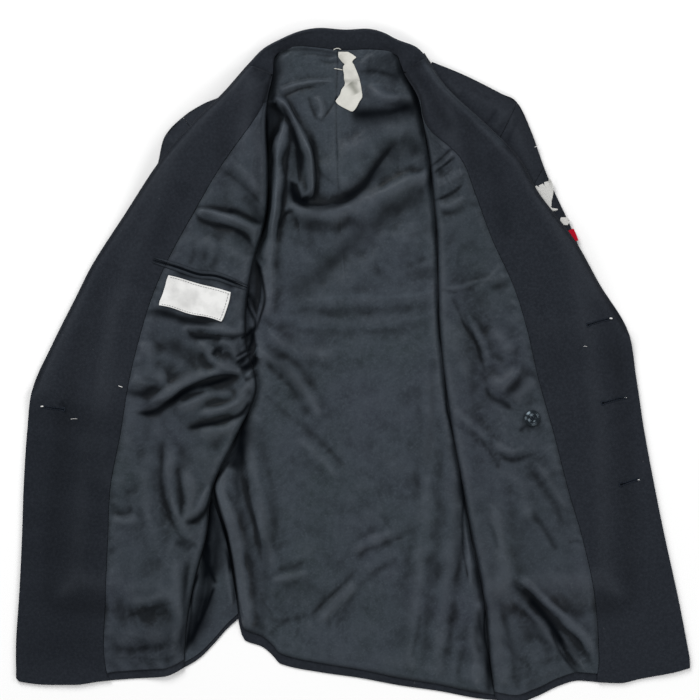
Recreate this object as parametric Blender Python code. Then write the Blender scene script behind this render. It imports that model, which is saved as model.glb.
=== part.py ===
"""Double-breasted service tunic, laid open on its back with the inside up.

The wearer's right front lies at -X and the left front at +X, the collar at +Y and the
hem at -Y. Every piece is a wall of cloth whose height comes from what lies beneath it,
so the pieces stack without touching: back on the ground, sleeves beside it, lapels on
the sleeves, fronts over them, and linings and facings on top.
"""

import math

import bpy
import numpy as np

# ---------------------------------------------------------------- sizes (millimetres)
MM = 0.001
WOOL = 1.8            # shell cloth with its interlining
LINING = 1.0          # lining, labels and welts
GAP = 0.3             # clearance between neighbouring pieces
SEAM = GAP / 2        # what each piece gives up at a shared seam
FOLD_GAP = 2.2        # open valley between a front's inner edge and the lining beside it
BUTTON_DIAMETER = 19.0
OUTER_BUTTON_DIAMETER = 22.0
OUTER_BUTTON_THICKNESS = 3.0

LIP_STEPS = (4.0, 12.0)   # lines of points beside a front's fold
ROLL_STEPS = (9.0,)       # and beside its outer edge
LIP_WIDTH = 12.0      # how fast a front's inner edge rises from the ground
LIP_REACH = 46.0      # and how far out it has sunk again
LAPEL_THICKNESS = 3.2
LAPEL_LIFT = 5.0      # how far a lapel beneath it raises the front
LAPEL_SEAT = 0.6      # from the lapel up to the front on it
LAPEL_SETBACK = 9.0   # from the roll to the folded lapel's own edge
ARM_LOFT = 3.6        # air left inside a flattened sleeve
SHOULDER_LOFT = 11.0  # more of it at the shoulder point, where the wadding is
SHOULDER_SPREAD = 90.0
EDGE_ROUND = 22.0     # how far in a sleeve or shoulder edge keeps rounding
FRONT_CLEARANCE = 4.3 # between a sleeve's upper side and the front on it
DRAPE_REACH = 26.0    # how far beside a sleeve the front on it begins to rise
DRAPE_WIDTH = 46.0    # and the width over which it does

# ------------------------------------------------------------------- section tables
# Where each front's lining turns down to meet the back, by height up the garment.
# At the right the two part near the hem, and the side body shows between them.
FOLD_RIGHT = (  # y, front_x, back_x
    (377, -83, -83), (369, -93, -93), (347, -96, -96), (319, -102, -102),
    (289, -104, -104), (241, -102, -102), (181, -104, -104), (124, -119, -119),
    (79, -127, -127), (25, -127, -127), (-27, -116, -116), (-85, -140, -140),
    (-146, -168, -168), (-205, -176, -152), (-262, -191, -142), (-308, -199, -137),
    (-365, -203, -137),
)
FOLD_LEFT = (  # y, front_x, back_x
    (372, 52, 52), (350, 61, 61), (322, 77, 77), (285, 85, 85), (247, 92, 92),
    (205, 96, 96), (151, 101, 101), (97, 102, 102), (43, 104, 104), (-15, 110, 110),
    (-77, 119, 119), (-147, 132, 132), (-209, 143, 143), (-279, 157, 157),
    (-359, 165, 165), (-402, 171, 171),
)
# How far the cloth stands up beside that fold.
LIP_RIGHT = ((377, 3), (320, 9), (250, 11), (180, 10), (80, 9), (-30, 9), (-150, 6), (-260, 5), (-365, 2))
LIP_LEFT = ((372, 3), (330, 9), (280, 10), (200, 8), (100, 6), (-50, 5), (-200, 6), (-330, 5), (-402, 2))

# Sections across each front, from its fold through the facing seam to the outer edge.
# The last two are the lining's hem and the cloth's own.
FRONT_RIGHT = (  # fold_y, seam_x, seam_y, edge_x, edge_y
    (347, -98, 346, -128, 358), (319, -105, 317, -157, 325), (289, -120, 289, -192, 289),
    (241, -156, 240, -234, 241), (181, -191, 181, -274, 181), (124, -222, 124, -311, 124),
    (79, -241, 79, -334, 79), (25, -257, 25, -361, 25), (-27, -269, -27, -384, -27),
    (-85, -278, -82, -391, -82), (-146, -290, -146, -395, -146), (-207, -293, -206, -397, -206),
    (-263, -296, -269, -400, -269), (-325, -299, -335, -404, -330),
    (-349, -295, -368, -404, -366), (-359, -290, -377, -404, -375),
)
FRONT_LEFT = (  # fold_y, seam_x, seam_y, edge_x, edge_y
    (350, 63, 350, 90, 367), (322, 79, 323, 112, 332), (285, 89, 285, 162, 285),
    (247, 128, 247, 199, 247), (205, 146, 205, 223, 205), (151, 166, 151, 265, 151),
    (97, 191, 97, 296, 97), (43, 208, 43, 329, 43), (-15, 222, -17, 340, -17),
    (-77, 239, -77, 349, -77), (-147, 257, -147, 362, -147), (-209, 275, -209, 374, -206),
    (-279, 290, -279, 390, -279), (-359, 295, -347, 402, -341),
    (-391, 293, -370, 404, -355), (-401, 293, -380, 404, -363),
)
LINING_ROW = 14       # the front section where the lining ends
LINING_TIP = 1.15     # and the one where it begins, as a point
BACK = (  # right_y, centre_x, centre_y, left_y
    (376, -18, 375, 371), (347, -19, 347, 350), (319, -20, 317, 322), (289, -20, 286, 285),
    (241, -19, 243, 247), (181, -16, 190, 195), (124, -12, 131, 139), (79, -8, 79, 82),
    (25, -5, 23, 25), (-27, -1, -31, -32), (-85, 2, -89, -92), (-146, 6, -153, -155),
    (-203, 8, -219, -221), (-257, 12, -287, -296), (-302, 16, -364, -389),
)
# The three edges that don't run straight between section ends.
NECK = ((-98, 372), (-83, 377), (-64, 380), (-40, 378), (-13, 375), (18, 376), (37, 375), (52, 371), (60, 366))
HEM_BACK = ((-137, -302), (-131, -322), (-109, -331), (-97, -341), (-87, -352), (-40, -363),
            (8, -371), (56, -381), (104, -389), (152, -399), (178, -402))
HEM_RIGHT = ((-404, -375), (-400, -379), (-364, -383), (-334, -383), (-304, -379), (-268, -376),
             (-226, -373), (-198, -360))
HEM_LEFT = ((170, -401), (194, -405), (218, -398), (248, -384), (270, -378), (296, -380),
            (320, -381), (344, -376), (386, -368), (404, -363))
HEM_SIDE = ((-210, -366), (-198, -360), (-184, -351), (-166, -333), (-152, -317), (-137, -303))
HEM_STRIP = 8.0       # wool that shows below a lining

# The ground outline of the back beyond its folds: shoulder lines and armholes.
BACK_TOP = (  # x, y
    (-200, 297), (-179, 310), (-152, 322), (-126, 343), (-106, 344), (-92, 351), (-89, 366),
    (-79, 374), (-64, 377), (-40, 375), (-13, 372), (18, 373), (37, 372), (50, 367), (54, 358),
    (62, 346), (92, 357), (134, 343), (176, 322), (193, 313),
)
BACK_RIGHT_EDGE = ((-200, 297), (-163, 248), (-121, 197), (-130, 124), (-141, 79), (-141, 25),
                   (-130, -27), (-154, -85), (-168, -146), (-152, -203), (-142, -257), (-137, -309))
BACK_LEFT_EDGE = ((193, 313), (160, 250), (127, 182), (116, 140), (116, 97), (118, 43), (124, -15),
                  (133, -77), (146, -147), (155, -209), (164, -279), (174, -359), (178, -402))

# Sections across each sleeve, from the neck end of the shoulder down to the cuff.
SLEEVE_RIGHT = (  # outer_x, outer_y, inner_x, inner_y
    (-127, 350, -104, 338), (-152, 326, -109, 297), (-179, 314, -114, 247), (-204, 298, -126, 193),
    (-226, 274, -136, 145), (-235, 239, -145, 97), (-252, 193, -154, 49), (-274, 139, -161, 1),
    (-298, 67, -168, -47), (-316, -5, -178, -101), (-330, -89, -188, -161), (-340, -185, -203, -221),
    (-344, -269, -217, -281),
)
SLEEVE_LEFT = (  # outer_x, outer_y, inner_x, inner_y
    (95, 364, 85, 350), (134, 348, 100, 307), (176, 327, 116, 241), (197, 315, 131, 181),
    (214, 280, 143, 133), (234, 225, 152, 91), (269, 147, 162, 43), (287, 79, 164, -11),
    (299, 7, 166, -65), (308, -89, 166, -137), (313, -185, 164, -209), (314, -269, 167, -269),
)
ARMHOLE_ROW = 3       # the section where shoulder and sleeve are sewn together

# Sections round the collar, which is folded over on itself along its outer edge.
COLLAR = (  # neck_x, neck_y, fold_x, fold_y, neck_z, fold_z
    (-96, 348.2, -128, 359.3, 12, 12), (-94, 369, -109, 379, 9, 14), (-83, 378, -88, 391, 6, 15),
    (-64, 381, -64, 401, 4, 15), (-40, 379, -40, 405, 4, 14), (-13, 376, -10, 403, 4, 13),
    (18, 377, 17, 404, 4, 14), (37, 376, 35, 400, 4, 15), (52, 372, 53, 391, 6, 16),
    (57, 362, 76, 382, 9, 15), (61, 351.2, 90, 368.2, 12, 12),
)
COLLAR_WALL = 2.4

# Places of the small pieces, as x, y.
UPPER_WELT = ((-238, 129), (-208, 120), (-184, 112), (-160, 109), (-126, 96))
WELT_WIDTH = 4.4
NAME_LABEL_TOP = ((-222, 108), (-146, 89))
NAME_LABEL_BOTTOM = ((-232, 72), (-157, 52))
NECK_LABEL = (  # y, start_x, end_x
    (374, -16, 2), (366, -14, 4), (356, -10, 3), (344, -9, 9), (330, -14, 12), (316, -18, 9),
    (306, -8, 1),
)
BADGE_ROWS = (4.8, 6.15)      # first and last section of the left sleeve under the badge
BADGE_ACROSS = (0.012, 0.30)  # share of the sleeve's width from its outer edge
INNER_BUTTON = (214.0, -63.0)
THREAD_HOLE = 1.8
THREAD_SPREAD = 2.3           # from the button's middle to each thread hole

# Width of the lapel folded beneath each front, by section of the front.
LAPEL_RIGHT = ((1.2, 60), (1.9, 84), (2.6, 88), (4.0, 74), (5.5, 48), (6.5, 24), (7.2, 10))
LAPEL_LEFT = ((1.7, 60), (2.1, 84), (2.7, 88), (4.0, 66), (5.2, 34), (5.8, 20), (6.3, 10))

# The largest folds of the lining: a path along the crest, its height and half width.
BACK_FOLDS = (  # height, half_width, path
    (11, 11, ((-94, 300), (-76, 288), (-64, 258), (-56, 226), (-54, 200))),
    (10, 13, ((-88, 270), (-93, 215), (-95, 165), (-99, 100), (-103, 65))),
    (13, 15, ((-66, 186), (-38, 186), (4, 186), (44, 206), (86, 226))),
    (7, 14, ((-100, 26), (-76, -12), (-52, -52), (-36, -66))),
    (6, 16, ((-96, 68), (-30, 76), (40, 78), (92, 76))),
    (6, 16, ((-84, 44), (-20, 48), (50, 52), (96, 46))),
    (9, 13, ((-148, -132), (-134, -190), (-124, -240), (-120, -300))),
    (6, 14, ((88, 0), (82, -100), (76, -200), (66, -330))),
    (6, 15, ((112, -130), (124, -210), (126, -300), (118, -370))),
    (5, 15, ((-92, -246), (-40, -240), (20, -230), (50, -208))),
    (7, 12, ((-60, 330), (-30, 338), (0, 334), (34, 350))),
    (8, 13, ((36, 322), (58, 310), (72, 290))),
)
RIGHT_FOLDS = (  # height, half_width, path
    (7, 11, ((-188, 186), (-160, 178), (-132, 170), (-116, 168))),
    (7, 12, ((-244, -44), (-220, -34), (-196, -16), (-160, -10), (-138, -12))),
    (6, 12, ((-196, 50), (-166, 44), (-140, 56))),
    (5, 14, ((-228, -90), (-220, -150), (-206, -210))),
    (5, 13, ((-270, -296), (-230, -290), (-206, -300))),
)
LEFT_FOLDS = (  # height, half_width, path
    (6, 11, ((98, 236), (112, 246), (126, 252))),
    (6, 13, ((134, 56), (150, 24), (160, -4))),
    (5, 14, ((160, -28), (186, -26), (212, 6))),
    (7, 14, ((196, -256), (226, -300), (254, -326), (282, -362))),
    (6, 13, ((136, -180), (150, -250), (160, -320))),
)

# ---------------------------------------------------------------- plain calculations


def ramp(t):
    """Rise from 0 to 1 with level ends."""
    t = np.clip(t, 0.0, 1.0)
    return t * t * (3.0 - 2.0 * t)


def swell(t):
    """Rise from 0 to 1 like the side of a rounded edge."""
    return np.sin(0.5 * math.pi * np.clip(t, 0.0, 1.0))


def through(places, values, at):
    """Smooth curve through values given at rising places."""
    places = np.asarray(places, float)
    values = np.asarray(values, float)
    at = np.clip(np.asarray(at, float), places[0], places[-1])
    slopes = np.gradient(values, places)
    index = np.clip(np.searchsorted(places, at, side="right") - 1, 0, len(places) - 2)
    step = places[index + 1] - places[index]
    t = (at - places[index]) / step
    rise = values[index + 1] - values[index]
    start = slopes[index] * step
    end = slopes[index + 1] * step
    return values[index] + t * (start + t * (3 * rise - 2 * start - end + t * (start + end - 2 * rise)))


def column(table, name, at):
    """One column of a section table, read at fractional section numbers."""
    values = [row[name] for row in table]
    return through(np.arange(len(table)), values, at)


def by_height(table, name, y):
    """One column of a table whose rows run down the garment."""
    rows = sorted(table)
    return through([row[0] for row in rows], [row[name] for row in rows], y)


def edge_line(table, x):
    """The y of an edge given as (x, y) points with rising x."""
    return through([row[0] for row in table], [row[1] for row in table], x)


def path_points(path, count):
    """Points evenly numbered along a smooth curve through a path."""
    at = np.linspace(0, len(path) - 1, count)
    return np.stack([column(path, 0, at), column(path, 1, at)], axis=-1)


def path_distance(path, x, y):
    """Distance from each point to a polyline."""
    nearest = np.full(np.shape(x), np.inf)
    for (ax, ay), (bx, by) in zip(path[:-1], path[1:]):
        dx = bx - ax
        dy = by - ay
        t = np.clip(((x - ax) * dx + (y - ay) * dy) / (dx * dx + dy * dy), 0, 1)
        nearest = np.minimum(nearest, np.hypot(x - ax - t * dx, y - ay - t * dy))
    return nearest


def inside_depth(outline, x, y):
    """Distance to a closed outline, positive inside it."""
    inside = np.zeros(np.shape(x), bool)
    closed = list(outline) + [outline[0]]
    for (ax, ay), (bx, by) in zip(closed[:-1], closed[1:]):
        if ay == by:
            continue
        crosses = (ay > y) != (by > y)
        inside ^= crosses & (x < ax + (y - ay) * (bx - ax) / (by - ay))
    return np.where(inside, 1.0, -1.0) * path_distance(closed, x, y)


# ------------------------------------------------------------------------- one side


class Side:
    """The tables and lines of one half of the tunic."""

    def __init__(self, front, fold, lip, sleeve, hem, lapel, folds, roll_end):
        self.front = front
        self.fold = fold
        self.lip = lip
        self.sleeve = sleeve
        self.hem = hem
        self.lapel = lapel
        self.folds = folds
        self.roll_end = roll_end
        self.roll = [(row[3], row[4]) for row in front[:roll_end + 1]]
        self.tip = sleeve[ARMHOLE_ROW][:2]
        outer = [row[:2] for row in sleeve]
        inner = [row[2:4] for row in reversed(sleeve)]
        self.sleeve_outline = outer + inner


RIGHT = Side(FRONT_RIGHT, FOLD_RIGHT, LIP_RIGHT, SLEEVE_RIGHT, HEM_RIGHT, LAPEL_RIGHT, RIGHT_FOLDS, 8)
LEFT = Side(FRONT_LEFT, FOLD_LEFT, LIP_LEFT, SLEEVE_LEFT, HEM_LEFT, LAPEL_LEFT, LEFT_FOLDS, 7)
SIDES = {"right": RIGHT, "left": LEFT}
OUTER_BUTTONS = ((-268, 70), (-277, -25), (-284, -122))  # x, y beneath the right front
OUTER_BUTTON_LIFT = 2.6

# --------------------------------------------------------------------------- heights


def loft(side, x, y):
    """Height of the air or wadding between a sleeve's two sides, away from its edges."""
    away = np.hypot(x - side.tip[0], y - side.tip[1])
    return ARM_LOFT + SHOULDER_LOFT * np.exp(-((away / SHOULDER_SPREAD) ** 2))


def sleeve_top(side, x, y):
    """Underside of the upper sleeve or shoulder."""
    depth = inside_depth(side.sleeve_outline, x, y)
    return WOOL + GAP + loft(side, x, y) * swell(depth / EDGE_ROUND)


def over_sleeve(side, x, y, clearance):
    """Lowest place for cloth that is draped over the sleeve and the ground beside it."""
    depth = inside_depth(side.sleeve_outline, x, y)
    height = loft(side, x, y) + 2 * WOOL + GAP + clearance
    return height * ramp((depth + DRAPE_REACH) / DRAPE_WIDTH)


def front_floor(side, x, y):
    """Underside of a front's outer cloth."""
    fold_x = by_height(side.fold, 1, y)
    from_fold = np.abs(x - fold_x)
    over_back = (WOOL + GAP) * (1 - ramp((from_fold - 20) / 30))
    sunk = 1 - ramp((from_fold - LIP_WIDTH) / LIP_REACH)
    lip = by_height(side.lip, 1, y) * swell(from_fold / LIP_WIDTH) * sunk
    from_roll = path_distance(side.roll, x, y)
    above_roll_end = ramp((y - side.roll[-1][1] + 45) / 60)
    lapel = LAPEL_LIFT * ramp((from_roll - 1) / 7) * (1 - ramp((from_roll - 90) / 50)) * above_roll_end
    floor = over_back + lip + over_sleeve(side, x, y, FRONT_CLEARANCE) + lapel
    if side is RIGHT:
        floor = floor + OUTER_BUTTON_LIFT * (1 - ramp((path_distance(OUTER_BUTTONS, x, y) - 13) / 26))
    return floor


def fold_height(folds, x, y):
    """Sum of the lining's folds, each tapering off at both ends."""
    height = np.zeros(np.shape(x))
    for crest, half_width, path in folds:
        line = path_points(path, 4 * len(path))
        near = path_distance(line, x, y) / half_width
        height = height + crest * np.exp(-near * near)
    return height


def back_lining_floor(x, y):
    """Underside of the back lining, which comes down to the back at its sides."""
    right = x - by_height(FOLD_RIGHT, 2, y)
    left = by_height(FOLD_LEFT, 2, y) - x
    hem = y - edge_line(HEM_BACK, x)
    free = ramp(np.minimum(right, left) / 14.0) * ramp((hem - 4) / 30.0)
    rise = 2.4 + fold_height(BACK_FOLDS, x, y)
    return WOOL + GAP + rise * free


def front_lining_floor(side, x, y):
    """Underside of a front's lining."""
    on_cloth = front_floor(side, x, y) + WOOL + GAP
    hem = y - edge_line(side.hem, x)
    seam_side = by_height(side.front_seam, 1, y)
    free = ramp(np.abs(x - seam_side) / 16.0) * ramp((hem - 10) / 30.0)
    return on_cloth + (0.6 + fold_height(side.folds, x, y)) * free


for one_side in SIDES.values():
    one_side.front_seam = [(row[2], row[1]) for row in one_side.front[1:-2]]

# ------------------------------------------------------------------------ mesh making


class Surface:
    """A grid of points read as the flat triangles that a wall over it has."""

    def __init__(self, points):
        a = points[:-1, :-1].reshape(-1, 3)
        b = points[:-1, 1:].reshape(-1, 3)
        c = points[1:, 1:].reshape(-1, 3)
        d = points[1:, :-1].reshape(-1, 3)
        self.corners = np.concatenate([np.stack([a, b, c], axis=1), np.stack([a, c, d], axis=1)])

    def height(self, x, y):
        """Height of the triangles at each place, or of the nearest one beside them."""
        place = np.stack([np.ravel(x), np.ravel(y)], axis=-1)
        a, b, c = (self.corners[:, k, :2] for k in range(3))
        z = self.corners[:, :, 2]
        ab = b - a
        ac = c - a
        area = ab[:, 0] * ac[:, 1] - ab[:, 1] * ac[:, 0]
        offset = place[:, None, :] - a[None]
        u = (offset[..., 0] * ac[:, 1] - offset[..., 1] * ac[:, 0]) / area
        v = (ab[:, 0] * offset[..., 1] - ab[:, 1] * offset[..., 0]) / area
        outside = np.maximum(np.maximum(-u, -v), u + v - 1)
        best = np.argmin(outside, axis=1)
        pick = np.arange(len(place))
        u = u[pick, best]
        v = v[pick, best]
        height = z[best, 0] + u * (z[best, 1] - z[best, 0]) + v * (z[best, 2] - z[best, 0])
        return height.reshape(np.shape(x))

    def around(self, x, y, reach):
        """Heights at each place and at eight places a short way around it."""
        turns = np.linspace(0, 2 * math.pi, 8, endpoint=False)
        ring = [self.height(x + reach * math.cos(t), y + reach * math.sin(t)) for t in turns]
        return np.array([self.height(x, y), *ring])

    def crest(self, x, y, reach):
        """Highest of the places around each one."""
        return np.max(self.around(x, y, reach), axis=0)

    def trough(self, x, y, reach):
        """Lowest of the places around each one."""
        return np.min(self.around(x, y, reach), axis=0)


def grid_solid(name, lower, upper, material):
    """One closed wall between two grids of points, given as (rows, columns, 3) arrays."""
    rows, columns, _ = lower.shape
    count = rows * columns
    points = np.concatenate([upper.reshape(-1, 3), lower.reshape(-1, 3)]) * MM
    faces = []
    for i in range(rows - 1):
        for j in range(columns - 1):
            a = i * columns + j
            b = a + 1
            c = a + columns + 1
            d = a + columns
            faces += [(a, b, c), (a, c, d)]
            faces += [(count + a, count + c, count + b), (count + a, count + d, count + c)]
    around = list(range(columns))
    around += [i * columns + columns - 1 for i in range(1, rows)]
    around += [(rows - 1) * columns + j for j in range(columns - 2, -1, -1)]
    around += [i * columns for i in range(rows - 2, 0, -1)]
    for a, b in zip(around, around[1:] + around[:1]):
        faces += [(a, count + a, count + b), (a, count + b, b)]
    first = upper[0, -1, :2] - upper[0, 0, :2]
    second = upper[-1, 0, :2] - upper[0, 0, :2]
    if first[0] * second[1] - first[1] * second[0] < 0:
        faces = [face[::-1] for face in faces]
    mesh = bpy.data.meshes.new(name)
    mesh.from_pydata(points.tolist(), [], faces)
    return new_object(name, mesh, material)


def new_object(name, mesh, material):
    """Link a mesh to the scene, shaded smooth between its creases."""
    thing = bpy.data.objects.new(name, mesh)
    bpy.context.scene.collection.objects.link(thing)
    mesh.materials.append(material)
    mesh.shade_smooth()
    mesh.set_sharp_from_angle(angle=math.radians(50))
    return thing


def wall(name, plan, floor, thickness, material):
    """A cloth wall standing on a floor height, over a plan grid of (rows, columns, 2).

    Gives its two faces as surfaces, for what lies on or under it.
    """
    x = plan[..., 0]
    y = plan[..., 1]
    z = floor(x, y)
    lower = np.stack([x, y, z], axis=-1)
    upper = np.stack([x, y, z + thickness], axis=-1)
    grid_solid(name, lower, upper, material)
    return Surface(lower), Surface(upper)


def between(start, end, steps):
    """Rows of points from one line of points to another."""
    part = np.atleast_2d(steps)[:, :, None]
    return start[:, None, :] * (1 - part) + end[:, None, :] * part


def inset_steps(start, end, count, first_gap, last_gap, near_start=(), near_end=()):
    """Even steps from 0 to 1 that stop short by small distances at the ends.

    Extra steps can lie at set distances from either end, closer where a row is short.
    """
    rows = []
    for length in np.linalg.norm(end - start, axis=-1):
        furthest = max([1.0, *near_start, *near_end])
        shrink = min(1.0, length / (3.0 * furthest))
        first = [first_gap] + [first_gap + d * shrink for d in near_start]
        last = [length - last_gap - d * shrink for d in near_end] + [length - last_gap]
        even = np.linspace(first[-1], last[0], count)[1:-1]
        rows.append(np.concatenate([first, even, last]) / length)
    return np.array(rows)


def front_lines(side, levels):
    """Fold, seam and edge points of a front at the given sections."""
    fold_y = column(side.front, 0, levels)
    fold = np.stack([by_height(side.fold, 1, fold_y), fold_y], axis=-1)
    seam = np.stack([column(side.front, 1, levels), column(side.front, 2, levels)], axis=-1)
    edge = np.stack([column(side.front, 3, levels), column(side.front, 4, levels)], axis=-1)
    return fold, seam, edge


def to_hem(side, plan, levels):
    """Bend the last sections of a front to the true line of its hem."""
    last_row = len(side.front) - 1
    fold, seam, edge = front_lines(side, np.array([float(last_row)]))
    line_x = [fold[0, 0], seam[0, 0], edge[0, 0]]
    line_y = [fold[0, 1], seam[0, 1], edge[0, 1]]
    order = np.argsort(line_x)
    straight = np.interp(plan[..., 0], np.array(line_x)[order], np.array(line_y)[order])
    bend = edge_line(side.hem, plan[..., 0]) - straight
    share = ramp((levels - last_row + 2.5) / 1.5)[:, None]
    bent = plan.copy()
    bent[..., 1] += bend * share
    return bent


# ------------------------------------------------------------------------- materials


def cloth(name, colour, roughness):
    """A plain matt or satin material."""
    material = bpy.data.materials.new(name)
    material.use_nodes = True
    shader = material.node_tree.nodes["Principled BSDF"]
    shader.inputs["Base Color"].default_value = (*colour, 1.0)
    shader.inputs["Roughness"].default_value = roughness
    shader.inputs["Metallic"].default_value = 0.0
    return material


# ---------------------------------------------------------------------------- pieces


def make_back_shell(wool):
    """The back's outer cloth, flat on the ground."""
    down = np.linspace(0, 1, 13)
    across = np.linspace(0, 1, 20)
    top = path_points(BACK_TOP, 20)
    right = path_points(BACK_RIGHT_EDGE, 13)
    left = path_points(BACK_LEFT_EDGE, 13)
    hem_x = np.linspace(right[-1, 0], left[-1, 0], 20)
    hem = np.stack([hem_x, edge_line(HEM_BACK, hem_x)], axis=-1)
    u = across[None, :, None]
    v = down[:, None, None]
    sides = right[:, None] * (1 - u) + left[:, None] * u
    ends = top[None] * (1 - v) + hem[None] * v
    corners = (top[0] * (1 - u) + top[-1] * u) * (1 - v) + (hem[0] * (1 - u) + hem[-1] * u) * v
    wall("back_shell", sides + ends - corners, lambda x, y: np.zeros_like(x), WOOL, wool)


def make_back_lining(lining):
    """The two halves of the back lining, sewn down the middle."""
    surfaces = {}
    levels = np.linspace(0, len(BACK) - 1, 28)
    right_y = column(BACK, 0, levels)
    left_y = column(BACK, 3, levels)
    right = np.stack([by_height(FOLD_RIGHT, 2, right_y), right_y], axis=-1)
    centre = np.stack([column(BACK, 1, levels), column(BACK, 2, levels)], axis=-1)
    left = np.stack([by_height(FOLD_LEFT, 2, left_y), left_y], axis=-1)
    for name, outer in (("back_lining_right", right), ("back_lining_left", left)):
        plan = between(outer, centre, inset_steps(outer, centre, 12, FOLD_GAP, SEAM))
        x = plan[..., 0]
        neck_bend = edge_line(NECK, x) - 2 * SEAM - plan[:1, :, 1]
        hem_bend = edge_line(HEM_BACK, x) + HEM_STRIP - plan[-1:, :, 1]
        plan[..., 1] += neck_bend * (1 - ramp(levels / 2.0))[:, None]
        plan[..., 1] += hem_bend * ramp((levels - len(BACK) + 4.0) / 3.0)[:, None]
        surfaces[name] = wall(name, plan, back_lining_floor, LINING, lining)[1]
    return surfaces


def make_front(name, side, wool, lining):
    """Outer cloth, facing and lining of one front, all on the same lines of points."""
    last = len(side.front) - 1
    above_tip = np.array([0.0, 0.5])
    lined = np.concatenate([np.linspace(LINING_TIP, last - 2, 21), [LINING_ROW]])
    levels = np.concatenate([above_tip, lined, [last]])
    fold, seam, edge = front_lines(side, levels)
    inner = between(fold, seam, inset_steps(fold, seam, 6, SEAM, 0, near_start=LIP_STEPS))
    outer = between(seam, edge, inset_steps(seam, edge, 5, 0, 0, near_end=ROLL_STEPS))
    plan = to_hem(side, np.concatenate([inner, outer[:, 1:]], axis=1), levels)
    shell = wall("front_shell_" + name, plan, lambda x, y: front_floor(side, x, y), WOOL, wool)

    steps = inset_steps(seam, edge, 5, SEAM, 0, near_end=ROLL_STEPS)
    plan = to_hem(side, between(seam, edge, steps), levels)
    facing = wall("facing_" + name, plan, lambda x, y: front_floor(side, x, y) + WOOL + GAP, WOOL, wool)

    fold, seam, edge = front_lines(side, lined)
    steps = inset_steps(fold, seam, 6, SEAM, SEAM, near_start=LIP_STEPS)
    plan = to_hem(side, between(fold, seam, steps), lined)
    inside = wall("front_lining_" + name, plan, lambda x, y: front_lining_floor(side, x, y), LINING, lining)
    return shell[0], facing[1], inside[1]


def make_lapel(name, side, under_front, wool):
    """The lapel, folded under along the roll and lying against the front."""
    first = side.lapel[0][0]
    last = side.lapel[-1][0]
    levels = np.linspace(first, last, 18)
    width = through([row[0] for row in side.lapel], [row[1] for row in side.lapel], levels)
    fold, seam, edge = front_lines(side, levels)
    inward = fold - edge
    room = np.linalg.norm(inward, axis=-1)
    inward /= room[:, None]
    width = np.minimum(width, room - LAPEL_SETBACK * 1.4 - 3 * LIP_WIDTH)
    start = edge + inward * LAPEL_SETBACK * 1.4
    end = start + inward * width[:, None]
    plan = between(start, end, np.linspace(0, 1, 7))
    drop = LAPEL_SEAT + LAPEL_THICKNESS
    wall("lapel_" + name, plan, lambda x, y: under_front.trough(x, y, 5.0) - drop, LAPEL_THICKNESS, wool)


def make_sleeve(name, side, wool):
    """Shoulder, upper sleeve and under sleeve, flattened on each other."""
    last = len(side.sleeve) - 1

    def rows(first, end, count, columns):
        levels = np.linspace(first, end, count)
        outer = np.stack([column(side.sleeve, 0, levels), column(side.sleeve, 1, levels)], axis=-1)
        inner = np.stack([column(side.sleeve, 2, levels), column(side.sleeve, 3, levels)], axis=-1)
        closer_at_edges = 0.5 - 0.5 * np.cos(np.linspace(0, math.pi, columns))
        return between(outer, inner, closer_at_edges)

    start = ARMHOLE_ROW + 0.004
    upper = rows(start, last, 15, 10)
    top = wall("sleeve_top_" + name, upper, lambda x, y: sleeve_top(side, x, y), WOOL, wool)[1]
    under = rows(start, last, 10, 5)
    wall("sleeve_under_" + name, under, lambda x, y: np.zeros_like(x), WOOL, wool)

    shoulder = rows(0, ARMHOLE_ROW - 0.004, 7, 10)
    x = shoulder[..., 0]
    y = shoulder[..., 1]
    flat = np.full_like(x, WOOL + GAP)
    lower = np.stack([x, y, flat], axis=-1)
    upper = np.stack([x, y, sleeve_top(side, x, y) + WOOL], axis=-1)
    grid_solid("shoulder_" + name, lower, upper, wool)
    return top


def make_side_body(wool, lining):
    """The right side body, seen in the gap between front and back near the hem."""
    levels = np.linspace(0, 1, 9)
    front_y = -150 - levels * 209
    back_y = -150 - levels * 157
    front = np.stack([by_height(FOLD_RIGHT, 1, front_y), front_y], axis=-1)
    back = np.stack([by_height(FOLD_RIGHT, 2, back_y), back_y], axis=-1)
    front_under = front - np.array([8.0, 0.0])
    back_edge = back - np.array([0.6, 0.0])

    def hemmed(plan, rise):
        bend = edge_line(HEM_SIDE, plan[..., 0]) + rise - plan[-1:, :, 1]
        plan[..., 1] += bend * ramp((levels - 0.6) / 0.4)[:, None]
        return plan

    shell = hemmed(between(front_under, back_edge, np.linspace(0, 1, 6)), 0.0)
    wall("side_shell_right", shell, lambda x, y: np.zeros_like(x), WOOL, wool)

    def valley(x, y):
        back_x = by_height(FOLD_RIGHT, 2, y)
        front_x = by_height(FOLD_RIGHT, 1, y)
        across = (x - front_x) / np.maximum(back_x - front_x, 1.0)
        return WOOL + GAP + 4.0 * ramp(across) * ramp((y - edge_line(HEM_SIDE, x) - 8) / 40)

    inner = hemmed(between(front, back_edge, inset_steps(front, back_edge, 6, FOLD_GAP, 0.4)), HEM_STRIP)
    wall("side_lining_right", inner[1:], valley, LINING, lining)


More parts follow.
